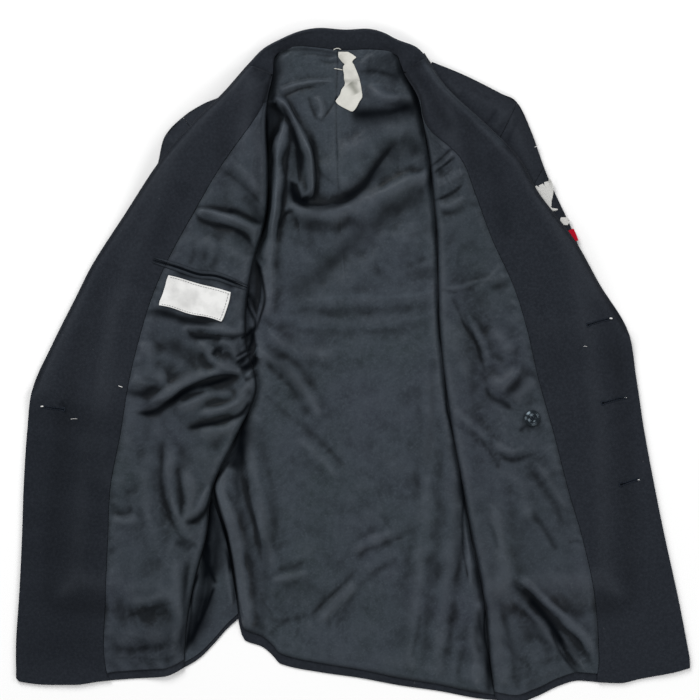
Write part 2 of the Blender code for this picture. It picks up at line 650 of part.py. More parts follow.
def make_collar(wool):
    """The collar: stand uppermost, folded over along its outer edge onto the fall."""
    levels = np.linspace(0, len(COLLAR) - 1, 21)
    neck_x, neck_y, fold_x, fold_y, neck_z, fold_z = (column(COLLAR, name, levels) for name in range(6))
    sections = []
    for nx, ny, fx, fy, nz, fz in zip(neck_x, neck_y, fold_x, fold_y, neck_z, fold_z):
        width = math.hypot(fx - nx, fy - ny)
        turn = 0.32 * fz
        stand = [(0.0, nz), (0.35 * width, nz + 0.55 * (fz - nz)), (0.7 * width, nz + 0.9 * (fz - nz))]
        bend = [(width - 3.5, fz), (width - 0.8, fz - turn), (width - 1.8, fz - 2.2 * turn)]
        fall = [(0.7 * width, COLLAR_WALL), (0.35 * width, COLLAR_WALL), (1.5, COLLAR_WALL)]
        outside = stand + bend + [(s, z - COLLAR_WALL) for s, z in fall]
        inside = [(s, z) for s, z in fall[::-1]]
        inside += [(width - 5.5, fz - 2.0 * turn), (width - 4.2, fz - turn - 0.6), (width - 5.5, fz - COLLAR_WALL)]
        inside += [(s, z - COLLAR_WALL) for s, z in stand[::-1]]
        along = np.array([s / width for s, _ in outside + inside])
        height = np.array([z for _, z in outside + inside])
        sections.append(np.stack([nx + (fx - nx) * along, ny + (fy - ny) * along, height], axis=-1))
    tube("collar", np.array(sections), wool)


def tube(name, sections, material):
    """A closed body through rings of points, with flat ends."""
    count, around, _ = sections.shape
    points = (sections.reshape(-1, 3) * MM).tolist()
    faces = []
    for i in range(count - 1):
        for j in range(around):
            a = i * around + j
            b = i * around + (j + 1) % around
            faces += [(a, a + around, b + around), (a, b + around, b)]
    half = around // 2
    for base, order in ((0, 1), ((count - 1) * around, -1)):
        for j in range(half - 1):
            ring = [base + j, base + j + 1, base + around - 2 - j, base + around - 1 - j]
            faces += [tuple(ring[:3])[::order], (ring[0], ring[2], ring[3])[::order]]
    mesh = bpy.data.meshes.new(name)
    mesh.from_pydata(points, [], faces)
    return new_object(name, mesh, material)


def make_strip(name, centre_line, half_width, floor, columns, material):
    """A narrow strip lying on a panel, made from the panel's height under its own points."""
    line = path_points(centre_line, columns)
    along = np.gradient(line, axis=0)
    along /= np.linalg.norm(along, axis=-1)[:, None]
    across = np.stack([-along[:, 1], along[:, 0]], axis=-1)
    plan = between(line - across * half_width, line + across * half_width, np.linspace(0, 1, 3))
    wall(name, plan, floor, LINING, material)


def make_trim(front, back, lining, white):
    """Pocket welts and name label on the right front, and the neck label."""
    _, facing, inside = front

    def on_front(x, y):
        seam_x = by_height(RIGHT.front_seam, 1, y)
        on_facing = facing.crest(np.minimum(x, seam_x), y, 4.0)
        on_lining = inside.crest(np.maximum(x, seam_x), y, 4.0)
        higher = np.maximum(on_facing, on_lining)
        nearer = np.where(x < seam_x, on_facing, on_lining)
        return np.where(np.abs(x - seam_x) < 9.0, higher, nearer) + GAP

    lower_welt = [(x - 1.4, y - 5.2) for x, y in UPPER_WELT]
    make_strip("pocket_welt_upper", UPPER_WELT, WELT_WIDTH / 2, on_front, 17, lining)
    make_strip("pocket_welt_lower", lower_welt, WELT_WIDTH / 2, on_front, 17, lining)

    top = path_points(NAME_LABEL_TOP, 9)
    bottom = path_points(NAME_LABEL_BOTTOM, 9)
    plan = between(top, bottom, np.linspace(0, 1, 6))
    wall("name_label", plan, on_front, LINING, white)

    heights = np.linspace(0, len(NECK_LABEL) - 1, 13)
    y = column(NECK_LABEL, 0, heights)
    start = np.stack([column(NECK_LABEL, 1, heights), y], axis=-1)
    end = np.stack([column(NECK_LABEL, 2, heights), y], axis=-1)
    plan = between(start, end, np.linspace(0, 1, 5))
    under = back["back_lining_left"]
    wall("neck_label", plan, lambda x, y: under.crest(x, y, 4.0) + 2 * GAP, LINING, white)


def make_badge(sleeve, red):
    """The patch on the left sleeve, made from the sleeve's own points."""
    levels = np.linspace(*BADGE_ROWS, 8)
    outer = np.stack([column(SLEEVE_LEFT, 0, levels), column(SLEEVE_LEFT, 1, levels)], axis=-1)
    inner = np.stack([column(SLEEVE_LEFT, 2, levels), column(SLEEVE_LEFT, 3, levels)], axis=-1)
    plan = between(outer, inner, np.linspace(*BADGE_ACROSS, 8))
    wall("sleeve_badge", plan, lambda x, y: sleeve.crest(x, y, 2.5) + GAP, LINING, red)


def turned(name, profile, segments, centre, material):
    """A body of revolution about +Z from a profile of (radius, z) points on and off the axis."""
    centre_x, centre_y, centre_z = centre
    points = [(centre_x, centre_y, centre_z + profile[0][1])]
    rings = profile[1:-1]
    for radius, z in rings:
        for k in range(segments):
            angle = 2 * math.pi * k / segments
            x = centre_x + radius * math.cos(angle)
            y = centre_y + radius * math.sin(angle)
            points.append((x, y, centre_z + z))
    points.append((centre_x, centre_y, centre_z + profile[-1][1]))
    faces = []
    last = len(points) - 1
    for k in range(segments):
        after = (k + 1) % segments
        faces.append((0, 1 + after, 1 + k))
        for i in range(len(rings) - 1):
            a = 1 + i * segments
            b = a + segments
            faces.append((a + k, a + after, b + after, b + k))
        top = 1 + (len(rings) - 1) * segments
        faces.append((top + k, top + after, last))
    mesh = bpy.data.meshes.new(name)
    mesh.from_pydata((np.array(points) * MM).tolist(), [], faces)
    return new_object(name, mesh, material)


def make_buttons(on_left, under_right, black):
    """The inside button of the left front and the outer buttons beneath the right one."""
    radius = BUTTON_DIAMETER / 2
    x, y = INNER_BUTTON
    turn = np.linspace(0, 2 * math.pi, 16, endpoint=False)
    seat = float(np.max(on_left.height(x + radius * np.cos(turn), y + radius * np.sin(turn)))) + GAP
    profile = ((0, 0), (0.55 * radius, 0), (radius, 1.4), (radius, 2.6), (0.86 * radius, 3.6),
               (0.7 * radius, 3.4), (0.55 * radius, 2.4), (0, 2.4))
    button = turned("inner_button", profile, 24, (x, y, seat), black)
    drill = ((0, -1), (THREAD_HOLE / 2, -1), (THREAD_HOLE / 2, 5), (0, 5))
    for k in range(4):
        angle = math.pi / 4 + k * math.pi / 2
        spot = (x + THREAD_SPREAD * math.cos(angle), y + THREAD_SPREAD * math.sin(angle), seat)
        cutter = turned("thread_hole_%d" % (k + 1), drill, 10, spot, black)
        cutter.hide_render = True
        cutter.display_type = "WIRE"
        hole = button.modifiers.new("thread hole", "BOOLEAN")
        hole.object = cutter
        hole.operation = "DIFFERENCE"

    radius = OUTER_BUTTON_DIAMETER / 2
    high = OUTER_BUTTON_THICKNESS
    profile = ((0, 0), (0.8 * radius, 0.2), (radius, 0.4 * high), (radius, 0.8 * high),
               (0.9 * radius, high), (0, high))
    for k, (x, y) in enumerate(OUTER_BUTTONS):
        under = float(np.min(under_right.height(x + radius * np.cos(turn), y + radius * np.sin(turn))))
        turned("outer_button_%d" % (k + 1), profile, 20, (x, y, under - GAP - high), black)


def main():
    for thing in list(bpy.data.objects):
        bpy.data.objects.remove(thing, do_unlink=True)
    wool = cloth("navy wool", (0.017, 0.020, 0.028), 0.9)
    lining = cloth("slate satin lining", (0.034, 0.043, 0.052), 0.45)
    white = cloth("white tape", (0.62, 0.62, 0.60), 0.8)
    red = cloth("badge cloth", (0.28, 0.01, 0.03), 0.8)
    black = cloth("black button", (0.01, 0.01, 0.01), 0.15)
    make_back_shell(wool)
    back = make_back_lining(lining)
    fronts = {}
    sleeves = {}
    for name, side in SIDES.items():
        fronts[name] = make_front(name, side, wool, lining)
        make_lapel(name, side, fronts[name][0], wool)
        sleeves[name] = make_sleeve(name, side, wool)
    make_side_body(wool, lining)
    make_collar(wool)
    make_trim(fronts["right"], back, lining, white)
    make_badge(sleeves["left"], red)
    make_buttons(fronts["left"][2], fronts["right"][0], black)


main()
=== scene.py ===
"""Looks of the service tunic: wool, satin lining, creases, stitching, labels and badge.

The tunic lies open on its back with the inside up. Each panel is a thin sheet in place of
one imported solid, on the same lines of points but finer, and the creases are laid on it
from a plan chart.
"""

import math

import bpy
import numpy as np
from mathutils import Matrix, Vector
from mathutils.bvhtree import BVHTree


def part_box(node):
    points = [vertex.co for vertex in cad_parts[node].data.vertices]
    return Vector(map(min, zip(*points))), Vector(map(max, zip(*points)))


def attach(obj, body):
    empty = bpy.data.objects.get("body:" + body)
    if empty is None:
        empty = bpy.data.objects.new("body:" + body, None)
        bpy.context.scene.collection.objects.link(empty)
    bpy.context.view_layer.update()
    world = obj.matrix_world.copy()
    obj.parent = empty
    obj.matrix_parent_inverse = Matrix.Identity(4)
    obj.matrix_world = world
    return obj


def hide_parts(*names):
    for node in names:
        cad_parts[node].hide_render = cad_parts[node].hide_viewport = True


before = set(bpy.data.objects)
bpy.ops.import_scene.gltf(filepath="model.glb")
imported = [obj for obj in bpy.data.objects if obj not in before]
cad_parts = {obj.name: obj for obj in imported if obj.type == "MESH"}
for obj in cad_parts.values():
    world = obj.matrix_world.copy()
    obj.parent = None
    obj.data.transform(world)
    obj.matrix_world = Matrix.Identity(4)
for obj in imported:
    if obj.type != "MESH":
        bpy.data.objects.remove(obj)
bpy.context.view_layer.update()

# ---------------------------------------------------------------- sizes (millimetres)
MM = 0.001
WOOL = 1.8            # shell cloth with its interlining
LINING = 1.0          # lining, labels and welts
GAP = 0.3             # clearance between neighbouring pieces
SEAM = GAP / 2        # what each piece gives up at a shared seam
LIP_WIDTH = 12.0      # how fast a front's inner edge rises from the ground
LIP_REACH = 46.0      # and how far out it has sunk again
LAPEL_THICKNESS = 3.2
LAPEL_LIFT = 5.0      # how far a lapel beneath it raises the front
LAPEL_SEAT = 0.6      # from the lapel up to the front on it
LAPEL_SETBACK = 9.0   # from the roll to the folded lapel's own edge
LAPEL_START = 1.0     # from the roll, where the front begins to rise over the lapel
LAPEL_RISE = 7.0      # and the width over which it does
LAPEL_SPAN = 90.0     # where it begins to sink again
LAPEL_SINK = 50.0     # and the width over which it does
LAPEL_BELOW_ROLL = 45.0   # how far below the roll's end the lapel still raises the front
LAPEL_TAPER = 60.0        # and the height over which that sets in
BACK_UNDER_FRONT = 20.0   # how far the back's cloth raises a front beyond the fold
BACK_RUNS_OUT = 30.0      # and the width over which it runs out
HEM_BEND_ROWS = 2.5       # sections above a front's hem where it begins to bend to its true line
HEM_BEND_RUN = 1.5        # and over how many
ARMHOLE_GAP = 0.004       # of a section, on either side of the armhole's seam
FACING_ROUND = 0.95       # rounding of a facing's plain edges
ARM_LOFT = 3.6        # air left inside a flattened sleeve
SHOULDER_LOFT = 11.0  # more of it at the shoulder point, where the wadding is
SHOULDER_SPREAD = 90.0
EDGE_ROUND = 22.0     # how far in a sleeve or shoulder edge keeps rounding
FRONT_CLEARANCE = 4.3 # between a sleeve's upper side and the front on it
DRAPE_REACH = 26.0    # how far beside a sleeve the front on it begins to rise
DRAPE_WIDTH = 46.0    # and the width over which it does
ROLL_WIDTH = 8.0      # how fast the fold's inner edge rounds over
ROLL_INSET = 3.0      # outer cloth's setback where the facing rolls over it
ROLL_RADIUS = 2.6
SLEEVE_ROLL = 1.95    # rounding of a sleeve's creased edges
FRONT_LINING_DUSK = 0.12  # the fronts' lining is a little deeper than the back's
UNDER_COLLAR = 2.5    # how far the lining runs in beneath the collar
BACK_SLACK = 3.4      # how far the back lining stands off the wool
FRONT_SLACK = 1.6     # and a front's lining
BACK_ROLL_TOP = -110.0    # y below which the back lining's right edge rolls
BACK_ROLL_RUN = 60.0      # and the height over which that sets in
BACK_ROLL_HEIGHT = 4.0
SEAM_WIDTH = 1.3      # the back lining's middle seam, drawn in under the neck
SEAM_DEPTH = 1.1
SEAM_SHOWS_ABOVE = 205.0  # y from which it is drawn in
SIDE_TOP = -150.0     # y where the side body begins to show
SIDE_FRONT_LENGTH = 209.0 # and how far it runs down at the front
SIDE_BACK_LENGTH = 157.0  # and at the back
RIDGE_GAIN = 1.2      # the creases' heights are charted for a lighter press
TROUGH_GAIN = 0.6
# Painted shade along a crease's trough: how dark for each millimetre of depth, at most, over what share
# of its width, and its form.
TROUGH_DARK = 0.085   # how dark a trough lies, to the millimetre
TROUGH_DARK_MOST = 0.55
TROUGH_DARK_WIDTH = 0.7   # of the trough's own width
TROUGH_DARK_FORM = 1.6
SHADE_MOST = 0.97
INNER_BUTTON_DIAMETER = 19.0
INNER_BUTTON_SHAPE = (  # share of the radius, height
    (0.55, 0.0), (0.93, 0.6), (1.0, 1.3), (0.96, 1.9), (0.82, 2.7), (0.66, 3.5), (0.52, 3.2),
    (0.40, 2.7), (0.28, 2.3), (0.12, 2.2),
)
BUTTON_TILT = (-0.06, 0.05)   # its slope along x and y
THREAD_HOLE = 1.8
THREAD_HOLE_HEIGHT = 2.4
THREAD_HOLE_RIM = ((0.35, 0.0), (0.2, 0.14), (0.0, 0.10), (-0.1, 0.02))  # beyond the hole, height
THREAD_SPREAD = 2.3   # from the button's middle to each thread hole
THREAD_CROSS = ((0, 2, 0.9), (1, 3, 1.4))  # two holes, height of the thread between them
BUTTON_THREAD_RADIUS = 0.34
OUTER_BUTTON_DIAMETER = 22.0
OUTER_BUTTON_THICKNESS = 3.0
OUTER_BUTTON_LIFT = 2.6       # how far an outer button raises the front on it
OUTER_BUTTON_REACH = 13.0     # from its middle to where the front begins to sink
OUTER_BUTTON_SLOPE = 26.0     # and the width over which it does
STITCH_PITCH = 3.0            # from one stitch to the next
STITCH_RADIUS = 0.24
STITCH_PROUD = 0.18           # how far a stitch stands off the cloth
LOOSE_THREAD_RADIUS = 0.55
HOLE_STITCHES = 60            # along each side of a buttonhole
HOLE_STITCH_START = 0.35      # from the slit's middle
HOLE_STITCH_END = 2.0
HOLE_STITCH_ARCH = (0.05, 0.35, 0.5, 0.35, 0.0)
HOLE_EYE = 0.9                # how much wider the slit is at its round end
HOLE_BAR = 2.1                # half the length of the bar across each end
HOLE_SLIT_HALF_WIDTHS = (0.9, 0.9, 0.35, 0.3, 0.3, 0.3)
LABEL_SAG = 0.9               # wave of the name label's long edges
NAME_LABEL_LIFT = 1.1
NECK_LABEL_LIFT = 0.9
NECK_LABEL_STEP = 80.0        # row on the plan chart where the neck label steps down
NECK_LABEL_LOOSE = 88.0       # row below which it comes loose
NECK_LABEL_LOOSE_RUN = 24.0   # and over how many rows
NECK_LABEL_CURL = 1.2         # how far its loose corner lifts
BADGE_LIFT = 0.9
BADGE_BAR_WIDTHS = (6.2, 6.4, 6.4, 6.2)

# Small things, as (x, y) on the plan chart.
LABEL_LEFT_END = ((169.5, 275.6), (167.8, 280), (166, 287), (163.5, 295), (161, 301), (160, 305.5))
LABEL_RIGHT_END = ((231.5, 292.5), (230.5, 299), (228.5, 306), (226.5, 312), (224.2, 318),
                   (222.0, 321.6))
NECK_LABEL_OUTLINE = (  # y, start_x, end_x
    (52.5, 338.5, 348), (55, 338.2, 352.5), (58, 338.5, 356.5), (60, 340, 354), (62, 341.5, 352.3),
    (63.5, 343, 352.3), (65, 344.8, 354), (67, 343, 354.7), (70, 343, 356), (75, 344, 358),
    (80, 344, 359.7), (83, 345, 360.3), (86, 344.5, 361), (90, 341.5, 361.5), (95, 340, 362.3),
    (98, 338, 362.2), (100, 336.3, 361), (102, 335.5, 359.5), (105, 338, 358), (108, 343, 356.5),
    (110, 347, 355), (112, 351, 353),
)
# A stain, and painted shade under the tape's fold: darkness, reach to the left and right (mm), path.
NECK_LABEL_STAINS_AND_SHADE = (  # darkness, reach to the left and right (mm), path
    # a stain
    (0.62, 4.5, 4.5, ((349, 84), (352, 88), (356, 95))),
    # painted shade under the step where the tape folds
    (0.30, 2.0, 2.0, ((342, 81.5), (350, 82), (358, 83))),
    # darker along a line near the top
    (0.25, 3.0, 3.0, ((338, 56), (342, 62), (346, 66))),
)
LOOSE_THREADS = (
    ((333.5, 50.8), (335, 49.6), (338, 49.0), (341, 50.2)),
    ((334.2, 69.2), (337, 69.4), (343, 70.6)),
)
RIGHT_HOLE = ((65, 409.6), (62, 409.2), (55, 408.4), (48, 407.4), (42.5, 406.5))
LEFT_HOLES = (
    ((585.5, 325.5), (590, 324), (597, 321.8), (604, 320), (610.5, 318.5)),
    ((600.5, 403.2), (606, 402), (612, 400.4), (618, 398.8), (625, 397.8)),
    ((619, 484.8), (627, 482.4), (633, 480.4), (638, 479.4)),
)
THREAD_ENDS = (  # path, radius
    (((608.8, 318.6), (610.2, 318.3), (611.6, 318.8)), 1.0),
    (((41.2, 406.6), (42.6, 406.2), (44.0, 406.2)), 0.75),
    (((120, 385.6), (121.6, 386.2), (124, 387.0)), 0.42),
    (((71, 419.0), (74, 418.6), (78, 418.6)), 0.24),
    (((534.5, 147.4), (536.5, 146.4), (538, 145.0)), 0.5),
    (((582.5, 346.6), (584, 346.2), (586, 346.6)), 0.22),
    (((637.4, 479.8), (638.4, 479.6), (639.4, 479.8)), 0.55),
    (((624.0, 397.4), (625.4, 397.6), (626.6, 397.8)), 0.35),
)
BADGE_LEAVES = (  # path, half widths in millimetres; the last row is the disc
    (((551, 211), (546, 203), (540, 194), (534.5, 187)), (0.8, 3.6, 4.8, 4.4, 2.2)),
    (((550, 207), (547, 199), (543, 191), (540, 185)), (1.5, 4.2, 5.0, 4.6, 3.0)),
    (((550, 203), (549, 196), (547, 188), (545.5, 182)), (1.0, 3.6, 4.8, 4.4, 3.2)),
    (((551.5, 199), (551.5, 192), (550.5, 186), (549.2, 179.5)), (0.6, 1.8, 2.8, 3.0, 1.2)),
    (((557.5, 209.6), (554, 210), (550, 209.4), (546, 205)), (0.8, 1.6, 2.0, 2.6, 1.0)),
    (((563.5, 217.4), (563.5, 221.4), (563.5, 225.4)), (4.4, 6.4, 7.2, 6.4, 4.4)),
)
BADGE_BAR = ((568.5, 230.5), (573.5, 242.5))

# ------------------------------------------------------------------------ colours, light
WOOL_DARK = (0.0092, 0.0112, 0.0152)
WOOL_LIGHT = (0.0145, 0.0172, 0.0228)
WOOL_NAP = (0.0225, 0.0265, 0.0340)
LINING_GREEN = (0.0250, 0.0335, 0.0385)
LINING_BLUE = (0.0290, 0.0340, 0.0450)
LINING_LIGHT = (0.0430, 0.0530, 0.0655)
LINING_FLECK = (0.0700, 0.0840, 0.0980)
LINING_SHADE = (0.0150, 0.0190, 0.0240)
NECK_TAPE = (0.58, 0.575, 0.535)
WHITE_TAPE = (0.74, 0.74, 0.73)
# Colour of the stains, and of the painted shade under the neck tape's fold.
TAPE_STAIN_AND_SHADE = (0.10, 0.105, 0.08)
TAPE_SOIL = 0.80      # share of the tape's own colour where it is soiled
DARK_THREAD = (0.011, 0.016, 0.026)
WHITE_FLOSS = (0.62, 0.62, 0.60)
RED_FLOSS = (0.46, 0.003, 0.018)
THREAD_SHADE = 0.72   # share of a thread's own colour between its plies
BUTTON_BLACK = (0.002, 0.003, 0.005)
BUTTON_GREY = (0.005, 0.007, 0.010)
BUTTON_TINT = (0.70, 0.88, 1.0)
LINT = (0.10, 0.10, 0.11)
BLACK = (0.0, 0.0, 0.0)
# Painted highlight on ridges; then painted light on crests and painted shade in folds.
PAINTED_RIDGE_HIGHLIGHT = (0.16, 0.18, 0.21)
LIT_CREST = (0.108, 0.140, 0.170)
DEEP_SHADE = (0.0003, 0.0011, 0.0024)
FLOOR_WHITE = (0.93, 0.93, 0.93)
WAVE_SCALE = 0.314    # the scale at which a wave texture has one thread to the metre

BACKDROP = 9.0        # metres
BACKDROP_DROP = 0.0003    # below the tunic, so that the two never share a plane
SENSOR = 36.0         # millimetres
CAMERA_HEIGHT = 3.6
CAMERA_FRAME = 0.84   # width of cloth level seen across the image
CAMERA_PLACE = (-0.0036, 0.0186)
AMBIENT = 0.30
LIGHTS = (  # name, power (W), size (m), place
    ("key", 68.0, 1.7, (-1.1, 2.1, 2.0)),
    ("left", 16.0, 1.4, (-2.5, -0.3, 1.9)),
    ("right", 24.0, 1.4, (2.4, 0.6, 1.9)),
    ("low", 28.0, 1.6, (1.2, -2.2, 1.9)),
)

# ------------------------------------------------------------------- section tables
# Where each front's lining turns down to meet the back, by height up the garment.
# At the right the two part near the hem, and the side body shows between them.
FOLD_RIGHT = (  # y, front_x, back_x
    (377, -83, -83), (369, -93, -93), (347, -96, -96), (319, -102, -102),
    (289, -104, -104), (241, -102, -102), (181, -104, -104), (124, -119, -119),
    (79, -127, -127), (25, -127, -127), (-27, -116, -116), (-85, -140, -140),
    (-146, -168, -168), (-205, -176, -152), (-262, -191, -142), (-308, -199, -137),
    (-365, -203, -137),
)
FOLD_LEFT = (  # y, front_x, back_x
    (372, 52, 52), (350, 61, 61), (322, 77, 77), (285, 85, 85), (247, 92, 92),
    (205, 96, 96), (151, 101, 101), (97, 102, 102), (43, 104, 104), (-15, 110, 110),
    (-77, 119, 119), (-147, 132, 132), (-209, 143, 143), (-279, 157, 157),
    (-359, 165, 165), (-402, 171, 171),
)
# How far the cloth stands up beside that fold.
LIP_RIGHT = ((377, 3), (320, 9), (250, 11), (180, 10), (80, 9), (-30, 9), (-150, 6), (-260, 5),
             (-365, 2))
LIP_LEFT = ((372, 3), (330, 9), (280, 10), (200, 8), (100, 6), (-50, 5), (-200, 6), (-330, 5),
            (-402, 2))

# Sections across each front, from its fold through the facing seam to the outer edge.
# The last two are the lining's hem and the cloth's own.
FRONT_RIGHT = (  # fold_y, seam_x, seam_y, edge_x, edge_y
    (347, -98, 346, -128, 358), (319, -105, 317, -157, 325), (289, -120, 289, -192, 289),
    (241, -156, 240, -234, 241), (181, -191, 181, -274, 181), (124, -222, 124, -311, 124),
    (79, -241, 79, -334, 79), (25, -257, 25, -361, 25), (-27, -269, -27, -384, -27),
    (-85, -278, -82, -391, -82), (-146, -290, -146, -395, -146), (-207, -293, -206, -397, -206),
    (-263, -296, -269, -400, -269), (-325, -299, -335, -404, -330),
    (-349, -295, -368, -404, -366), (-359, -290, -377, -404, -375),
)
FRONT_LEFT = (  # fold_y, seam_x, seam_y, edge_x, edge_y
    (350, 63, 350, 90, 367), (322, 79, 323, 112, 332), (285, 89, 285, 162, 285),
    (247, 128, 247, 199, 247), (205, 146, 205, 223, 205), (151, 166, 151, 265, 151),
    (97, 191, 97, 296, 97), (43, 208, 43, 329, 43), (-15, 222, -17, 340, -17),
    (-77, 239, -77, 349, -77), (-147, 257, -147, 362, -147), (-209, 275, -209, 374, -206),
    (-279, 290, -279, 390, -279), (-359, 295, -347, 402, -341),
    (-391, 293, -370, 404, -355), (-401, 293, -380, 404, -363),
)
LINING_ROW = 14       # the front section where the lining ends
LINING_TIP = 1.15     # and the one where it begins, as a point
BACK = (  # right_y, centre_x, centre_y, left_y
    (376, -18, 375, 371), (347, -19, 347, 350), (319, -20, 317, 322), (289, -20, 286, 285),
    (241, -19, 243, 247), (181, -16, 190, 195), (124, -12, 131, 139), (79, -8, 79, 82),
    (25, -5, 23, 25), (-27, -1, -31, -32), (-85, 2, -89, -92), (-146, 6, -153, -155),
    (-203, 8, -219, -221), (-257, 12, -287, -296), (-302, 16, -364, -389),
)
# The edges that don't run straight between section ends.
NECK = ((-98, 372), (-83, 377), (-64, 380), (-40, 378), (-13, 375), (18, 376), (37, 375),
        (52, 371), (60, 366))
HEM_BACK = ((-137, -302), (-131, -322), (-109, -331), (-97, -341), (-87, -352), (-40, -363),
            (8, -371), (56, -381), (104, -389), (152, -399), (178, -402))
HEM_RIGHT = ((-404, -375), (-400, -379), (-364, -383), (-334, -383), (-304, -379), (-268, -376),
             (-226, -373), (-198, -360))
HEM_LEFT = ((170, -401), (194, -405), (218, -398), (248, -384), (270, -378), (296, -380),
            (320, -381), (344, -376), (386, -368), (404, -363))
HEM_SIDE = ((-210, -366), (-198, -360), (-184, -351), (-166, -333), (-152, -317), (-137, -303))
HEM_STRIP = 6.4       # wool that shows below a lining

# The ground outline of the back beyond its folds: shoulder lines and armholes.
BACK_TOP = (  # x, y
    (-200, 297), (-179, 310), (-152, 322), (-126, 343), (-106, 344), (-92, 351), (-89, 366),
    (-79, 374), (-64, 377), (-40, 375), (-13, 372), (18, 373), (37, 372), (50, 367), (54, 358),
    (62, 346), (92, 357), (134, 343), (176, 322), (193, 313),
)
BACK_RIGHT_EDGE = ((-200, 297), (-163, 248), (-121, 197), (-130, 124), (-141, 79), (-141, 25),
                   (-130, -27), (-154, -85), (-168, -146), (-152, -203), (-142, -257), (-137, -309))
BACK_LEFT_EDGE = ((193, 313), (160, 250), (127, 182), (116, 140), (116, 97), (118, 43), (124, -15),
                  (133, -77), (146, -147), (155, -209), (164, -279), (174, -359), (178, -402))

# Sections across each sleeve, from the neck end of the shoulder down to the cuff.
SLEEVE_RIGHT = (  # outer_x, outer_y, inner_x, inner_y
    (-127, 350, -104, 338), (-152, 326, -109, 297), (-179, 314, -114, 247), (-204, 298, -126, 193),
    (-226, 274, -136, 145), (-235, 239, -145, 97), (-252, 193, -154, 49), (-274, 139, -161, 1),
    (-298, 67, -168, -47), (-316, -5, -178, -101), (-330, -89, -188, -161),
    (-340, -185, -203, -221), (-344, -269, -217, -281),
)
SLEEVE_LEFT = (  # outer_x, outer_y, inner_x, inner_y
    (95, 364, 85, 350), (134, 348, 100, 307), (176, 327, 116, 241), (197, 315, 131, 181),
    (214, 280, 143, 133), (234, 225, 152, 91), (269, 147, 162, 43), (287, 79, 164, -11),
    (299, 7, 166, -65), (308, -89, 166, -137), (313, -185, 164, -209), (314, -269, 167, -269),
)
ARMHOLE_ROW = 3       # the section where shoulder and sleeve are sewn together

# Sections round the collar, which is folded over on itself along its outer edge.
COLLAR = (  # neck_x, neck_y, fold_x, fold_y, neck_z, fold_z
    (-96, 348.2, -128, 359.3, 12, 12), (-94, 369, -109, 379, 9, 14), (-83, 378, -88, 391, 6, 15),
    (-64, 381, -64, 401, 4, 15), (-40, 379, -40, 405, 4, 14), (-13, 376, -10, 403, 4, 13),
    (18, 377, 17, 404, 4, 14), (37, 376, 35, 400, 4, 15), (52, 372, 53, 391, 6, 16),
    (57, 362, 76, 382, 9, 15), (61, 351.2, 90, 368.2, 12, 12),
)
COLLAR_WALL = 2.4
COLLAR_SHOWS = 7.0    # height above which the collar's cloth can be seen, and creases

# Places of the small pieces, as x, y.
UPPER_WELT = ((-238, 129), (-208, 120), (-184, 112), (-160, 109), (-126, 96))
WELT_SHIFT = (1.5, 5.8)       # from the upper welt to the lower one
WELT_HALF_WIDTHS = (0.3, 1.9, 2.1, 2.1, 2.2, 2.1, 0.4)
WELT_DUSK = 0.38
SLIT_HALF_WIDTHS = (0.3, 0.9, 2.5, 2.6, 1.4, 0.3)
# The pocket's slit is a strip painted almost black for the shade in its opening.
SLIT_PAINTED_SHADE = 0.97
BADGE_ROWS = (4.8, 6.15)      # first and last section of the left sleeve under the badge
BADGE_ACROSS = (0.012, 0.30)  # share of the sleeve's width from its outer edge
INNER_BUTTON = (214.0, -63.0)
OUTER_BUTTONS = ((-268, 70), (-277, -25), (-284, -122))  # beneath the right front

# Width of the lapel folded beneath each front, by section of the front.
LAPEL_RIGHT = ((1.2, 60), (1.9, 84), (2.6, 88), (4.0, 74), (5.5, 48), (6.5, 24), (7.2, 10))
LAPEL_LEFT = ((1.7, 60), (2.1, 84), (2.7, 88), (4.0, 66), (5.2, 34), (5.8, 20), (6.3, 10))

# --------------------------------------------------------------------------- creases
# Creases are placed on a plan chart of the laid tunic: columns count to the right and
# rows downwards, one step is CHART_STEP, and CHART_ORIGIN is the frame's origin on it.
CHART_STEP = 1.2
CHART_ORIGIN = (353.0, 365.5)
CREASE_ENDS = 0.22    # share of a crease's length over which it fades out
SHADE_ENDS = 0.12     # and of a shaded line's
CREASE_UNEVEN = 0.36
SHADE_UNEVEN = 0.25
CRUMPLE_LAYERS = 7
CREST_MEAN = 0.23     # average height of a crumple's crests, taken off to keep it level
SOFT = 2.0            # a rounded crease
KEEN = 1.25           # one with a pinched line

